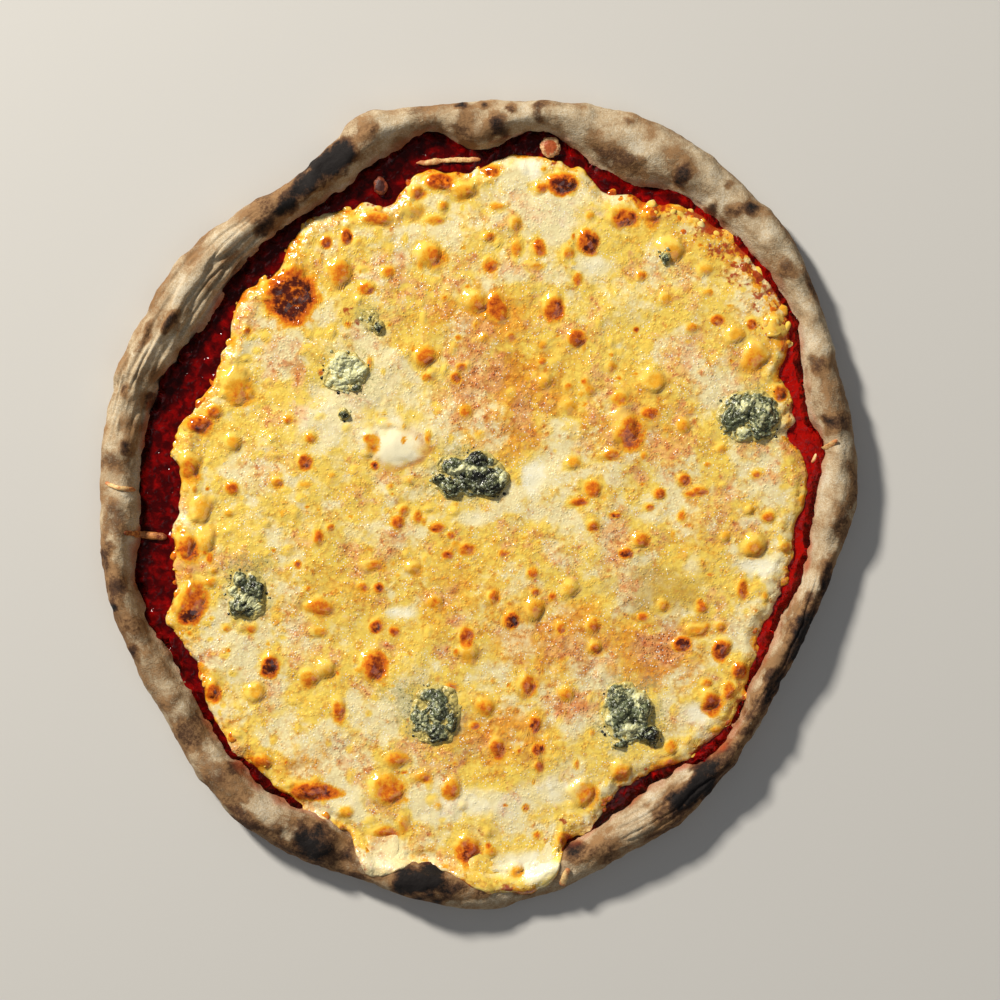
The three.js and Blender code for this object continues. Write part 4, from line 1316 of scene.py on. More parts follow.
@dataclass
class Sauce:
    """Tomato sauce on the base, which laps a little way up the rim."""

    dough: Dough
    around: int = 900
    ring_stations: int = 34
    ring_width: float = 36.0
    level: float = 4.75
    bottom: float = 3.55
    pulp: float = 0.55  # heights of the relief
    seeds: float = 0.18
    film: float = 0.4  # how thick it is where it laps up the rim
    film_run: float = 2.5
    lap: float = 1.5
    tuck: float = 6.0  # how far in the underside's ring lies

    def edge(self, angle: Array) -> Array:
        """Radius of the sauce's ragged outer edge."""
        ragged = 0.45 + 0.9 * ripple(on_circle(angle, 150), 7, 101, 3)
        return self.dough.inner_edge(angle) + self.lap * ragged

    def build(self) -> Piece:
        """Makes the sauce as a closed disc whose outer ring is finely worked.

        Returns:
            The painted piece.
        """
        across = self.ring_stations + 4
        piece = Piece.band("tomato_sauce_pulp", self.around, across)
        angle = np.linspace(0, 360, self.around, endpoint=False)
        edge = self.edge(angle)
        ring = edge[:, None] - np.linspace(0, 1, self.ring_stations) ** 0.8 * self.ring_width
        centre = np.zeros((self.around, 2))
        radius = np.concatenate([centre[:, :1], edge[:, None] - self.tuck, ring, centre], axis=1)
        turn = np.radians(angle)[:, None]
        x = radius * np.cos(turn) + self.dough.pole[0]
        y = radius * np.sin(turn) + self.dough.pole[1]
        flat = np.stack([x, y, np.zeros_like(x)], axis=-1).reshape(-1, 3)
        inside = np.repeat(edge, across) - radius.ravel()
        rise = self.level + self.pulp * ripple(flat, 4.5, 103, 4)
        rise += self.seeds * nodules(flat, 2.6, 105)
        film = (self.film + 0.15) * np.sqrt(np.clip(inside / self.film_run, 0, 1)) - 0.15
        top = np.maximum(rise, self.dough.top(flat[:, 0], flat[:, 1]) + film)
        station = np.tile(np.arange(across), self.around)
        flat[:, 2] = np.where((station < 2) | (station == across - 1), self.bottom, top)
        flat = piece.roll(flat.reshape(*x.shape, 3))
        inside = np.concatenate([inside, inside[:across]])
        dry = smooth(ripple(flat, 8, 107, 3), 0.15, 0.6) * smooth(-inside, -3.0, 0.0)
        # Painted light: brighter towards +X, which paints the sauce brighter on the right and deeper red
        # on the left.
        lit = smooth(flat[:, 0] / 150, 0.2, 0.9)
        piece.paint("pulp", dry, lit)
        piece.close()
        return piece


@dataclass
class Blanket:
    """The melted cheese: a wavy sheet with blisters, thin ragged edges and its painted colours."""

    dough: Dough
    sauce_level: float = 5.0
    cells: int = 300
    thickness: float = 2.8
    lip: float = 0.8  # height of the rounded edge
    lip_run: float = 1.6
    swell_run: float = 7.0  # how far in the sheet reaches its thickness
    under_insets: tuple[float, ...] = (1.0, 5.0, 28.0, 1000.0)  # how far in the lower rings lie
    sunk: float = 0.4
    small_blisters: int = 520
    tallest: Span = (2.0, 1.3)  # of a browned blister, and of a white one
    knobbly: float = 0.9  # height of the curds along the margin
    curd: float = 0.3
    baked: Span = (20, 70)  # angles between which the margin is baked brown and red
    seed: int = 20241124
    blisters: list[tuple[float, ...]] = field(default_factory=list)

    def edge(self, angle: Array) -> Array:
        """Finds the cheese's edge, lobed at three sizes.

        Args:
            angle: Angles in degrees.

        Returns:
            The edge's radius at each.
        """
        ring = on_circle(angle, 140)
        lobes = 1.5 * ripple(ring, 10, 201, 1) + 1.4 * ripple(ring, 4.5, 203, 2)
        return round_trip(CHEESE_EDGE, angle) * PIXEL + lobes

    def build(self) -> Piece:
        """Makes the sheet round, gives it its relief and closes its underside.

        Returns:
            The painted piece.
        """
        piece = Piece.sheet("cheese_blanket_melted", self.cells)
        angle, share = self.round_off(piece.points)
        ring = np.round(share * self.cells / 2).astype(int)
        last = self.cells // 2 - len(self.under_insets)
        under = np.maximum(ring - last, 0)
        reach = self.edge(angle)
        radius = reach * (1 - (1 - np.clip(ring / last, 0, 1)) ** 1.15)
        insets = np.array([0.0, *self.under_insets])[under]
        radius = np.where(insets > 0, np.maximum(reach - insets, 0), radius)
        x = radius * np.cos(np.radians(angle)) + self.dough.pole[0]
        y = radius * np.sin(np.radians(angle)) + self.dough.pole[1]
        flat = np.stack([x, y, np.zeros_like(x)], axis=1)
        inside = reach - radius
        flat[:, 2] = np.where(under > 0, self._ground(flat) - self.sunk, self._relief(flat, inside))
        piece.put(flat)
        for name, channels in self._colours(flat, inside).items():
            piece.paint(name, *channels)
        piece.close()
        return piece

    @staticmethod
    def round_off(points: Array) -> tuple[Array, Array]:
        """Maps a square sheet on to a disc, evenly.

        Args:
            points: Places on the sheet, from -1 to 1 both ways.

        Returns:
            Angles in degrees and shares of the disc's radius.
        """
        a, b = points[:, 0], points[:, 1]
        wide = np.abs(a) >= np.abs(b)
        share = np.where(wide, np.abs(a), np.abs(b))
        with np.errstate(divide="ignore", invalid="ignore"):
            first = np.where(a > 0, 0, 180) + 45 * np.nan_to_num(b / a)
            second = np.where(b > 0, 90, 270) - 45 * np.nan_to_num(a / b)
        return np.mod(np.where(wide, first, second), 360), share

    def sheet_top(self, flat: Array) -> Array:
        """Reads the height of the sheet without its blisters, away from its edge.

        Args:
            flat: Places, one row each.

        Returns:
            The height at each.
        """
        level = flat * [1, 1, 0]
        waves = 0.7 * ripple(level, 24, 211, 2) + 0.5 * ripple(level, 9, 213, 2)
        return self.sauce_level + self.thickness + waves

    def inside(self, flat: Array) -> Array:
        """How far places lie inside the cheese's edge."""
        angle, radius = self.dough.polar(flat[:, 0], flat[:, 1])
        return self.edge(angle) - radius

    def _ground(self, flat: Array) -> Array:
        """Height of what carries the sheet: the sauce, or the rim where the cheese ran over it."""
        return np.maximum(self.sauce_level - 0.4, self.dough.top(flat[:, 0], flat[:, 1]) - 0.2)

    def _relief(self, flat: Array, inside: Array) -> Array:
        """Works out the height of the sheet's upper side.

        Args:
            flat: Places, one row each.
            inside: How far each lies inside the edge.

        Returns:
            The height at each.
        """
        full = self.sheet_top(flat) - self.sauce_level
        round_lip = self.lip * np.sqrt(1 - (1 - np.clip(inside / self.lip_run, 0, 1)) ** 2)
        swell = (full - self.lip) * smooth(inside, 0.3, self.swell_run)
        ground = self._ground(flat)
        height = ground + round_lip + swell * np.where(ground > self.sauce_level + 1, 0.35, 1)
        level = flat * [1, 1, 0]
        lively = smooth(ripple(level, 18, 221, 2), -0.4, 0.5) * smooth(inside, 0, 2)
        grain, _ = self._curd_fields(level)
        margin = self.knobbly * (1 - smooth(inside, 3, 10)) * smooth(inside, 0, 1.5)
        height += (0.11 * ripple(level, 2.6, 217, 3) + self.curd * grain) * lively + margin * grain
        blistered = self._blister_fields(flat)[0]
        return height + blistered * smooth(inside, -0.5, 1.2)

    @staticmethod
    def _curd_fields(level: Array) -> tuple[Array, Array]:
        """Finds the sheet's curds.

        Args:
            level: Places, one row each, with height 0.

        Returns:
            Height and tone of the curds at each.
        """
        sway_x, sway_y = 1.3 * ripple(level, 6, 243, 2), 1.3 * ripple(level, 6, 245, 2)
        sway = np.stack([sway_x, sway_y, np.zeros(len(level))], axis=1)
        return curds(level + sway, 3.9, 219)

    def height(self, flat: Array) -> Array:
        """Height at any places: of the sheet, or of the sauce and dough outside its edge."""
        inside = self.inside(flat)
        return np.where(inside > 0, self._relief(flat, inside), self._ground(flat) + 0.3)

    def _all_blisters(self) -> list[tuple[float, ...]]:
        """Gathers the blisters, placed one by one and by a seeded draw.

        Returns:
            Each as (x, y, half width, half height, browning).
        """
        if self.blisters:
            return self.blisters
        made = []
        for px, py, wide, high, brown in BLISTERS:
            x, y = from_photo(px, py)
            made.append((x, y, wide * PIXEL, high * PIXEL, brown / 100))
        draw = np.random.default_rng(self.seed)
        while len(made) < len(BLISTERS) + self.small_blisters:
            turn, share = draw.uniform(0, 360), math.sqrt(draw.uniform(0, 1))
            reach = share * (float(self.edge(np.array([turn]))[0]) - 3)
            size = 0.7 + 1.7 * draw.uniform(0, 1) ** 2.2
            stretch = draw.uniform(0.7, 1.4)
            brown = 0.7 * max(0.0, draw.uniform(-0.9, 1)) ** 1.1
            x, y = reach * math.cos(math.radians(turn)), reach * math.sin(math.radians(turn))
            if ripple(np.array([[x, y, 0.0]]), 26, 225, 3)[0] > draw.uniform(-0.5, 0.5):
                made.append((x, y, size * stretch, size / stretch, brown))
        self.blisters = made
        return made

    def _blister_fields(self, flat: Array) -> tuple[Array, Array, Array, Array, Array]:
        """Works out what the blisters give each place.

        Args:
            flat: Places, one row each.

        Returns:
            Height, browning that leans lower right as painted shade, yellow halo, golden body, and painted
            shade at the foot's lower right.
        """
        height, brown, halo, body, foot = (np.zeros(len(flat)) for _ in range(5))
        level = flat * [1, 1, 0]
        wobble = 0.3 * ripple(level, 4.6, 223, 3)
        order = np.argsort(flat[:, 0])
        sorted_x = flat[order, 0]
        for number, (x, y, wide, high, heat) in enumerate(self._all_blisters()):
            span = 2.4 * max(wide, high)
            low, top = np.searchsorted(sorted_x, [x - span, x + span])
            near = order[low:top]
            near = near[np.abs(flat[near, 1] - y) < span]
            reach = reach_of(flat[near].T, (x, y), (wide, high)) * (1 + wobble[near])
            size = min(wide, high)
            lift = min(0.1 + 0.4 * size, self.tallest[0] if heat else self.tallest[1])
            dome = lift * np.clip(1 - reach**2, 0, 1) ** (0.65 if heat else 1.3)
            if number % 4 == 0:
                dome -= 0.35 * lift * (1 - smooth(reach, 0.1, 0.65))
            height[near] = np.maximum(height[near], dome)
            # Painted shade: the browned core leans towards the lower right, away from the light, more on
            # larger blisters.
            shade_lean = 0.3 * min(size / 4, 1)
            off = 0.26 * math.sin(number * 2.4) - shade_lean, 0.26 * math.cos(number * 2.4) + shade_lean
            dx, dy = (flat[near, 0] - x) / wide, (flat[near, 1] - y) / high
            aside = np.hypot(dx + off[0], dy + off[1]) * (1 + 0.8 * wobble[near])
            core = 1.15 * (1 - smooth(aside, 0.25 + 0.4 * heat**2, 1.3 + 0.2 * heat**2))
            brown[near] = np.maximum(brown[near], heat * core)
            halo[near] = np.maximum(halo[near], 1 - smooth(reach, 0.7, 2.2))
            body[near] = np.maximum(body[near], 1 - smooth(reach, 0.75, 1.15))
            # Painted shade: a dark ring round the foot, kept to the blister's lower-right side by shady.
            ring = smooth(reach, 0.7, 0.95) * (1 - smooth(reach, 1.0, 1.3)) * smooth(size, 1.2, 3.0)
            shady = 0.5 + 0.5 * (dx - dy) / 1.4
            foot[near] = np.maximum(foot[near], ring * np.clip(shady, 0, 1))
        return height, brown, halo, body, foot

    def _colours(self, flat: Array, inside: Array) -> dict[str, list[Array]]:
        """Works out what is painted on the sheet.

        Args:
            flat: Places, one row each.
            inside: How far each lies inside the edge.

        Returns:
            The painted channels, by the name of their attribute.
        """
        _, brown, halo, body, foot = self._blister_fields(flat)
        tints = {tint: np.zeros(len(flat)) for tint in Tint}
        level = flat * [1, 1, 0]
        ragged = 0.35 * ripple(level, 7, 227, 3)
        for tint, patches in PATCHES.items():
            for px, py, wide, high, strength in patches:
                reach = reach_of(flat.T, from_photo(px, py), (wide * PIXEL, high * PIXEL)) + ragged
                tints[tint] = np.maximum(tints[tint], strength * (1 - smooth(reach, 0.2, 1.5)))
        char = smooth(brown + 0.15 * ripple(level, 3, 247, 2), 0.75, 1.15)
        angle, _ = self.dough.polar(flat[:, 0], flat[:, 1])
        first, last = self.baked
        baked = smooth(angle, first, first + 10) * (1 - smooth(angle, last - 14, last))
        near_edge = (inside + 2.4 * ripple(level, 6, 229, 3)) * (1 - 0.6 * baked)
        thin = 1 - smooth(near_edge, 0.2, 4.5)
        warm = np.maximum(tints[Tint.WARM], 0.3 * (1 - smooth(near_edge, 3, 11)))
        grain, tone = self._curd_fields(level)
        full = smooth(grain, 0.25, 0.8)
        gap = 1 - smooth(grain, 0.05, 0.5)
        crisped = smooth(ripple(level, 9, 231, 2) + 0.35 * baked, -0.05, 0.5)
        brown = np.maximum(brown, (0.6 + 0.25 * baked) * thin * crisped)
        toasted = 0.06 + 0.12 * warm + 0.4 * thin
        brown = np.maximum(brown, full * smooth(tone, 0.66, 0.9) * toasted)
        bare = smooth(flat[:, 0], -80, 60) * 0.45 + 0.5
        soaked = smooth(ripple(level, 8, 233, 2) + 0.15 * baked, -0.2, 0.35)
        red = np.maximum(tints[Tint.RED], bare * thin * soaked)
        red = red * (1 - 0.6 * full * (1 - smooth(tone, 0.3, 0.6)))
        pink = np.maximum(tints[Tint.PINK], 0.5 * smooth(ripple(level, 12, 235, 3), 0.0, 0.6))
        yellow = np.maximum(tints[Tint.YELLOW], 0.6 * smooth(ripple(level, 16, 237, 3), -0.2, 0.6))
        yellow = np.maximum(yellow, 0.7 * halo)
        cream = np.maximum(tints[Tint.CREAM], 0.2 * full * (1 - smooth(tone, 0.15, 0.4)))
        warm = np.maximum(warm, 0.2 * gap)
        return {
            "browning": [brown, char, red],
            "oil": [yellow, tints[Tint.OLIVE], cream],
            "tint": [pink, tints[Tint.GREY], warm],
            "blister": [body, foot],
        }

    def top(self, x: float, y: float) -> float:
        """Height of the sheet at one place, for what is seated on it."""
        return float(self.sheet_top(np.array([[x, y, 0.0]]))[0])


@dataclass
class Bubbles:
    """Lumps and bubbles of cheese that fringe the blanket's edge over the sauce."""

    blanket: Blanket
    count: int = 260
    finer: int = 3
    clump: Span = (27.0, 62.0)  # angles between which the cheese breaks up over the sauce
    clumped: float = 0.36  # the share of the bubbles that lies there
    spill: Span = (246.0, 292.0)  # angles between which the cheese ran over the rim, with no fringe
    moved_on: float = 60.0  # how many degrees back those that fall on the spill are moved
    smallest: float = 0.7  # radii
    growth: float = 1.9
    flat_share: float = 0.48  # a bubble's height to its width
    sunk_share: float = 0.34  # how deep it sits, to its radius
    seed: int = 77

    def build(self) -> Piece:
        """Makes all bubbles as one mesh of flattened, uneven balls.

        Returns:
            The painted piece.
        """
        piece = Piece.swarm("cheese_bubbles", self.finer, self.count)
        draw = np.random.default_rng(self.seed)
        middles = self._places(draw)
        size = self.smallest + self.growth * draw.uniform(0, 1, self.count) ** 2.0
        stretch = draw.uniform(0.75, 1.35, self.count)
        turn = draw.uniform(0, np.pi, self.count)
        unit = piece.points.reshape(self.count, -1, 3)
        place = (unit * size[:, None, None] + middles[:, None]).reshape(-1, 3)
        wobble = 1 + 0.3 * ripple(place, 2.6, 241, 2)
        unit = unit * wobble.reshape(self.count, -1, 1)
        a = unit[..., 0] * (size * stretch)[:, None]
        b = unit[..., 1] * (size / stretch)[:, None]
        x = a * np.cos(turn)[:, None] - b * np.sin(turn)[:, None] + middles[:, None, 0]
        y = a * np.sin(turn)[:, None] + b * np.cos(turn)[:, None] + middles[:, None, 1]
        rise = (unit[..., 2] * self.flat_share - self.sunk_share) * size[:, None]
        z = rise + middles[:, None, 2]
        piece.put(np.stack([x, y, z], axis=-1).reshape(-1, 3))
        heat = 0.95 * draw.uniform(0, 1, self.count) ** 1.1
        brown = heat[:, None] * smooth(unit[..., 2], -0.4, 0.9)
        tone = np.broadcast_to(draw.uniform(0, 1, self.count)[:, None], brown.shape)
        stained = draw.uniform(0, 1, self.count) > 0.4
        red = np.where(stained, 0.9, 0.3)[:, None] * (1 - 0.8 * smooth(unit[..., 2], -0.1, 0.9))
        none = np.zeros(brown.size)
        piece.paint("browning", brown.ravel(), none, red.ravel())
        piece.paint("oil", 0.3 + 0.6 * tone.ravel(), none, 0.3 - tone.ravel() * 0.3)
        piece.paint("tint", none, none, 0.3 + tone.ravel() * 0.4)
        piece.paint("blister", 0.9 * smooth(unit[..., 2].ravel(), -0.2, 0.5), none)
        piece.close()
        return piece

    def _places(self, draw: np.random.Generator) -> Array:
        """Seats the bubbles along the cheese's edge, more where it breaks up.

        Args:
            draw: The source of seeded random numbers.

        Returns:
            Their middles, one row each.
        """
        angle = draw.uniform(0, 360, self.count)
        clumped = draw.uniform(0, 1, self.count) < self.clumped
        angle = np.where(clumped, draw.uniform(*self.clump, self.count), angle)
        spill = (angle > self.spill[0]) & (angle < self.spill[1])
        angle = np.where(spill, angle - self.moved_on, angle)
        inwards = 0.2 - 4.5 * draw.uniform(0, 1, self.count) ** 1.1
        inwards = inwards - np.where(clumped, 7.0 * draw.uniform(0, 1, self.count), 0)
        radius = self.blanket.edge(angle) + inwards
        pole = self.blanket.dough.pole
        x = radius * np.cos(np.radians(angle)) + pole[0]
        y = radius * np.sin(np.radians(angle)) + pole[1]
        flat = np.stack([x, y, np.zeros_like(x)], axis=1)
        flat[:, 2] = self.blanket.height(flat) - 0.35
        return flat


@dataclass
class BlueLumps:
    """The lumps of blue cheese: craggy and full of pits, melting into the blanket at their feet."""

    blanket: Blanket
    cells: int = 130
    spread: float = 1.3  # the modelled sheet is this much wider than the solid, and sunk out there
    sink: float = 1.1
    settled: float = 0.84
    bed_spread: float = 0.9  # the low mound under the parts, to the solid's size
    bed_height: float = 0.5
    blending: float = 3.0  # how softly the parts run into each other: less is softer
    crumb: float = 2.3  # sizes of the coarse and the fine grains
    grain: float = 0.95
    bits: int = 360
    bit_radii: Span = (0.25, 0.75)
    seed: int = 91

    def build(self) -> list[tuple[Piece, list[str]]]:
        """Makes each lump in its solid's place, and the loose crumbs round them.

        Returns:
            Each piece with the solids that it stands for.
        """
        made = []
        for number, parts in LUMPS.items():
            made.append((self._lump(number, parts), [f"blue_cheese_{number}"]))
        made.append((self._loose_bits(), []))
        return made

    def _lump(self, number: int, parts: list[tuple]) -> Piece:
        """Makes one lump from a round sheet that is draped over its parts.

        Args:
            number: The lump's number.
            parts: Its parts, as LUMPS gives them.

        Returns:
            The painted piece.
        """
        node = f"blue_cheese_{number}"
        low, high = (np.array(corner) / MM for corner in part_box(node))
        piece = Piece.sheet(f"{node}_crumbly", self.cells)
        turn, share = self.blanket.round_off(piece.points)
        ring = np.round(share * self.cells / 2).astype(int)
        last = self.cells // 2 - 2
        reach = np.where(ring > last + 1, 0.0, np.clip(ring / last, 0, 1))
        half = (high - low)[:2] / 2 * self.spread
        flat = np.zeros((len(reach), 3))
        flat[:, 0] = (low[0] + high[0]) / 2 + half[0] * reach * np.cos(np.radians(turn))
        flat[:, 1] = (low[1] + high[1]) / 2 + half[1] * reach * np.sin(np.radians(turn))
        ground = self.blanket.height(flat)
        dome, dark, light = self._huddle(flat, parts, low, high)
        grains, tone = curds(flat + 2.0 * dome[:, None], self.crumb, 303)
        fine = nodules(flat + 3.0 * dome[:, None], self.grain, 305)
        crag = 1.1 * (grains - 0.7) + 0.25 * (fine - 0.6) + 0.9 * ripple(flat, 3.2, 301, 3)
        rise = np.where(dome > 0, dome + crag * smooth(dome, 0.0, 1.0), 0)
        rise -= self.sink * (1 - smooth(dome, 0.0, 0.3)) * smooth(reach, 0.2, 0.8)
        top = np.minimum(ground + rise, high[2])
        flat[:, 2] = np.where(ring > last, ground - 2 * self.sink, top)
        piece.put(flat)
        # Painted shade darkens the hollows between the grains, and a painted highlight lightens their
        # tops.
        dark += 0.6 * (1 - smooth(grains, 0.3, 0.8)) + 0.2 * (1 - smooth(fine, 0.3, 0.8)) - 0.25
        dark += 0.5 * (tone - 0.5)
        light += 0.3 * smooth(grains + fine, 1.3, 1.9) + 0.5 * (0.5 - tone)
        soft = 0.9 * ripple(flat, 4, 311, 3)
        piece.paint("mould", dark, 1 - smooth(rise + soft, 0.2, 2.3), light)
        piece.close()
        return piece

    def _huddle(
        self, flat: Array, parts: list[tuple], low: Array, high: Array
    ) -> tuple[Array, Array, Array]:
        """Runs a lump's parts together over the blanket.

        Args:
            flat: Places, one row each.
            parts: The lump's parts, as LUMPS gives them.
            low: The lowest corner of its solid.
            high: The highest corner.

        Returns:
            Height, darkness and paleness at each place.
        """
        sway = 1.5 * ripple(flat, 5, 307, 3), 1.5 * ripple(flat, 5, 309, 3)
        warped = flat[:, 0] + sway[0], flat[:, 1] + sway[1]
        top = high[2]
        middle, half = (low + high) / 2, (high - low) / 2 * self.bed_spread
        reach = reach_of(warped, middle, half)
        bed = (top - self.blanket.top(middle[0], middle[1])) * self.bed_height
        heap = (bed * np.clip(1 - reach**2, 0, 1) ** 0.8) ** self.blending
        total, dark, light = np.full(len(flat), 1e-6), np.zeros(len(flat)), np.zeros(len(flat))
        for tone, px, py, wide, tall, share in parts:
            x, y = from_photo(px, py)
            reach = reach_of(warped, (x, y), (wide * PIXEL, tall * PIXEL)) / 1.25
            lift = (top - self.blanket.top(x, y)) * share * self.settled
            heap = heap + (lift * np.clip(1 - reach**2, 0, 1) ** 1.25) ** self.blending
            weight = np.exp(-3 * reach**2)
            total += weight
            dark += weight * tone.value[0]
            light += weight * tone.value[1]
        return heap ** (1 / self.blending), dark / total, light / total

    def _loose_bits(self) -> Piece:
        """Makes the dark and pale crumbs that lie round the lumps.

        Returns:
            All of them as one painted piece.
        """
        piece = Piece.swarm("blue_cheese_bits", 2, self.bits)
        draw = np.random.default_rng(self.seed)
        parts = [part for parts in LUMPS.values() for part in parts]
        chosen = [parts[i] for i in draw.integers(0, len(parts), self.bits)]
        unit = piece.points.reshape(self.bits, -1, 3)
        middles = np.zeros((self.bits, 3))
        for i, (_, px, py, wide, high, _) in enumerate(chosen):
            turn, reach = draw.uniform(0, 2 * np.pi), draw.uniform(0.8, 1.6)
            aside = wide * reach * math.cos(turn), high * reach * math.sin(turn)
            middles[i, :2] = from_photo(px + aside[0], py + aside[1])
        middles[:, 2] = self.blanket.height(middles) + 0.05
        size = draw.uniform(*self.bit_radii, self.bits)[:, None, None] * [1, 1, 0.6]
        piece.put((unit * size + middles[:, None]).reshape(-1, 3))
        shade = np.repeat(draw.uniform(0, 1, self.bits), unit.shape[1])
        piece.paint("mould", shade, 0.3 * shade, 1 - shade)
        piece.close()
        return piece


# Strands of cheese: (x, y) places along the middle line, and the strand's width and thickness.
STRANDS = {
    "cheese_shred_top": ([(-25.1, 137.6), (-12.1, 138.7), (0.9, 139.1)], (2.6, 1.3)),
    "cheese_shred_right": ([(133.9, 17.1), (137.9, 22.1), (142.9, 26.1)], (2.2, 1.4)),
    "cheese_shred_bottom": ([(35.9, -144.9), (34.4, -149.4), (33.4, -152.4)], (2.8, 1.6)),
    "cheese_strand_left": ([(-125.1, -12.9), (-133.1, -11.9), (-141.1, -10.9)], (3.0, 1.8)),
    "cheese_drip_left": ([(-137.1, 6.1), (-144.1, 7.1), (-149.1, 9.1)], (2.0, 1.2)),
}


@dataclass
class Strands:
    """Shreds that lie over the sauce and the rim, each through its own solid's middle line."""

    dough: Dough
    sauce_top: float = 5.0
    seated: float = 0.42  # how high the middle line lies, to the strand's thickness
    flare: float = 0.3  # how far a strand may swell past its solid's box at the sides

    def build(self) -> list[tuple[Piece, str]]:
        """Makes each strand from a spindle bent along its line."""
        return [(self._strand(node, seed), node) for seed, node in enumerate(STRANDS)]

    def _strand(self, node: str, seed: int) -> Piece:
        """Bends one strand along its line.

        Args:
            node: The solid that it stands for.
            seed: Picks its swellings.

        Returns:
            The painted piece.
        """
        path, (wide, thick) = STRANDS[node]
        piece = Piece.spindle(f"{node}_dry", 20, 48)
        unit = piece.points
        share = np.clip((unit[:, 2] + 1) / 2, 0, 1)
        knots = np.array(path)
        line = catmull(knots, share * (len(knots) - 1), closed=False)
        ahead = catmull(knots, np.minimum(share + 0.02, 1) * (len(knots) - 1), closed=False)
        behind = catmull(knots, np.maximum(share - 0.02, 0) * (len(knots) - 1), closed=False)
        along = ahead - behind
        along /= np.linalg.norm(along, axis=1, keepdims=True)
        body = np.sqrt(np.clip(1 - np.abs(unit[:, 2]) ** 4, 0, 1))
        round_share = np.hypot(unit[:, 0], unit[:, 1])
        safe = np.maximum(round_share, 1e-6)
        side = unit[:, 0] / safe * body * wide / 2
        rise = unit[:, 1] / safe * body * thick / 2
        side[round_share < 1e-4] = 0
        rise[round_share < 1e-4] = 0
        x = line[:, 0] - along[:, 1] * side
        y = line[:, 1] + along[:, 0] * side
        ground = np.maximum(self.dough.top(line[:, 0], line[:, 1]), self.sauce_top)
        level = ground + thick * self.seated
        flat = np.stack([x, y, level + rise], axis=1)
        swell = 0.85 + 0.5 * ripple(flat + 11 * seed, 3.5, 401, 3)[:, None]
        core = np.stack([line[:, 0], line[:, 1], level], axis=1)
        flat = core + (flat - core) * swell
        low, high = (np.array(corner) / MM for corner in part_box(node))
        piece.put(np.clip(flat, low - self.flare, high + [self.flare, self.flare, 0.0]))
        piece.paint("toast", 0.2 * smooth(np.abs(unit[:, 2]), 0.4, 1.0))
        piece.close()
        return piece


@dataclass
class Crumbs:
    """Two baked crumbs on the sauce, each in its own solid's box."""

    nodes: tuple[str, ...] = ("cheese_crumb_top", "baked_crumb_top_left")
    seated: float = 0.4  # how far a crumb is lowered into the sauce

    def build(self) -> list[tuple[Piece, str]]:
        """Makes each crumb as a blistered ball."""
        return [(self._crumb(node, seed), node) for seed, node in enumerate(self.nodes)]

    def _crumb(self, node: str, seed: int) -> Piece:
        """Makes one crumb.

        Args:
            node: The solid that it stands for.
            seed: Picks its knobs.

        Returns:
            The painted piece.
        """
        low, high = (np.array(corner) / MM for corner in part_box(node))
        piece = Piece.ball(f"{node}_baked", 5)
        unit = piece.points
        place = unit * (high - low) / 2
        shift = place + 13.0 * (seed + 1)
        knobs = 0.2 * nodules(shift, 1.9, 503)
        grown = place * (0.78 + knobs + 0.2 * ripple(shift, 3.5, 501, 3))[:, None]
        seat = [0, 0, self.seated]
        piece.put(np.clip(grown + (low + high) / 2 - seat, low - np.multiply(seat, 1.5), high))
        piece.paint("toast", 1 - smooth(np.hypot(unit[:, 0], unit[:, 1]) + 0.3 * knobs, 0.2, 0.75))
        piece.close()
        return piece


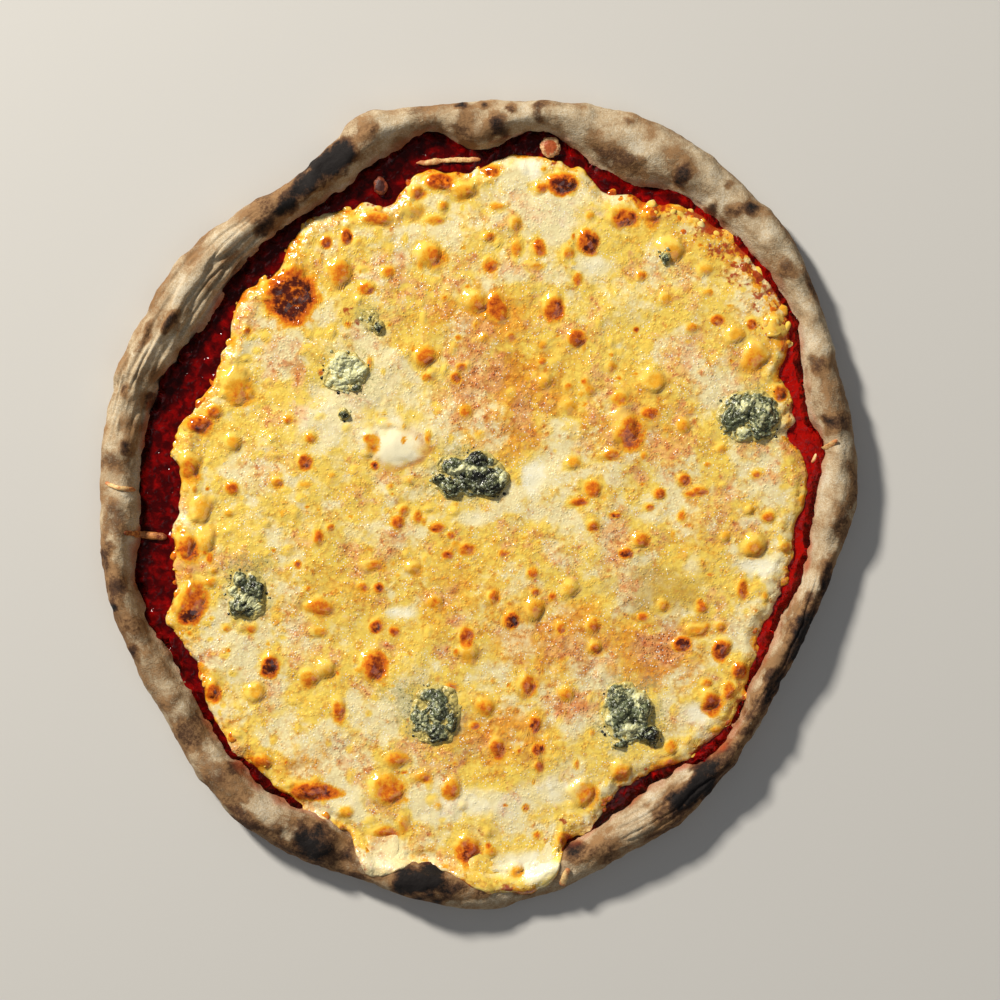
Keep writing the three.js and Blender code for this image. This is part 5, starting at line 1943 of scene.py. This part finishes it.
@dataclass
class Studio:
    """Pale floor, soft light from the upper left and the camera straight above."""

    frame_pixels: int = 1000
    sensor: float = 36.0
    camera_height: float = 1.1  # metres, as are all sizes here
    focus_height: float = 0.011
    floor_size: float = 6.0
    floor_gap: float = 0.0001
    air: Colour = (0.95, 0.97, 1.0, 1.0)
    air_strength: float = 0.13

    def build(self) -> None:
        """Sets the camera first, then the floor and the lights."""
        self._camera()
        self._floor()
        self._light("key_light", (-1.53, 1.70, 1.53), 0.33, 111.0, (1.0, 0.95, 0.86))
        self._light("fill_light", (0.5, -0.5, 1.2), 0.9, 1.8, self.air[:3])
        world = bpy.data.worlds.new("studio_air")
        world.use_nodes = True
        background = world.node_tree.nodes["Background"]
        background.inputs["Color"].default_value = self.air
        background.inputs["Strength"].default_value = self.air_strength
        bpy.context.scene.world = world
        bpy.context.scene.view_settings.view_transform = "Standard"

    def _camera(self) -> None:
        """Looks straight down with +Y up in the picture."""
        field_width = self.frame_pixels * PIXEL * MM
        middle = from_photo(self.frame_pixels / 2, self.frame_pixels / 2)
        data = bpy.data.cameras.new("camera")
        data.sensor_width = self.sensor
        data.lens = self.sensor * (self.camera_height - self.focus_height) / field_width
        camera = bpy.data.objects.new("camera", data)
        camera.location = (middle[0] * MM, middle[1] * MM, self.camera_height)
        bpy.context.scene.collection.objects.link(camera)
        bpy.context.scene.camera = camera

    def _floor(self) -> None:
        """Lays a plain pale floor."""
        deselect()
        bpy.ops.mesh.primitive_plane_add(size=self.floor_size, location=(0, 0, -self.floor_gap))
        floor = bpy.context.object
        floor.name = "studio_floor"
        paint = Paint("studio_floor_pale")
        floor.data.materials.append(paint.finish(Base_Color=linear(206, 204, 200), Roughness=0.7))

    @staticmethod
    def _light(
        name: str, place: Sequence[float], size: float, power: float, colour: Sequence[float]
    ) -> None:
        """Adds a square area light that looks at the pizza.

        Args:
            name: The light's name.
            place: Where it is.
            size: Its width in metres.
            power: Its power in watts.
            colour: Its colour.
        """
        data = bpy.data.lights.new(name, "AREA")
        data.size = size
        data.energy = power
        data.color = colour
        light = bpy.data.objects.new(name, data)
        light.location = place
        light.rotation_euler = (-Vector(place)).to_track_quat("-Z", "Y").to_euler()
        bpy.context.scene.collection.objects.link(light)


def main() -> None:
    """Builds the pizza in order: bread, sauce, cheese, lumps, strands, crumbs and the studio."""
    logging.basicConfig(level=logging.INFO, format="%(name)s %(message)s")
    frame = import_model()
    deselect()
    Studio().build()
    dough = Dough(frame["nodes"]["crust"])
    Crust(dough).build().hand_over(DoughFinish().material(), "dough", ["crust"])
    Sauce(dough).build().hand_over(SauceFinish().material(), "sauce", ["tomato_sauce"])
    blanket = Blanket(dough)
    melted = MeltedFinish().material()
    blanket.build().hand_over(melted, "melted_cheese", ["cheese_blanket"])
    Bubbles(blanket).build().hand_over(melted, "melted_cheese", [])
    blue = BlueFinish().material()
    for piece, nodes in BlueLumps(blanket).build():
        piece.hand_over(blue, "blue_cheese", nodes)
    pale = ShredFinish("shred_pale", linear(232, 196, 132), linear(196, 118, 66)).material()
    toasted = ShredFinish("shred_toasted", linear(206, 136, 72), linear(120, 48, 20)).material()
    ringed = ShredFinish("crumb_ringed", linear(236, 196, 140), linear(176, 82, 34)).material()
    burnt = ShredFinish("crumb_burnt", linear(150, 70, 40), linear(66, 24, 16)).material()
    for piece, node in Strands(dough).build():
        piece.hand_over(toasted if "strand" in node else pale, "baked_shred", [node])
    for (piece, node), finish in zip(Crumbs().build(), (ringed, burnt)):
        piece.hand_over(finish, "baked_shred", [node])


if __name__ == "__main__":
    main()
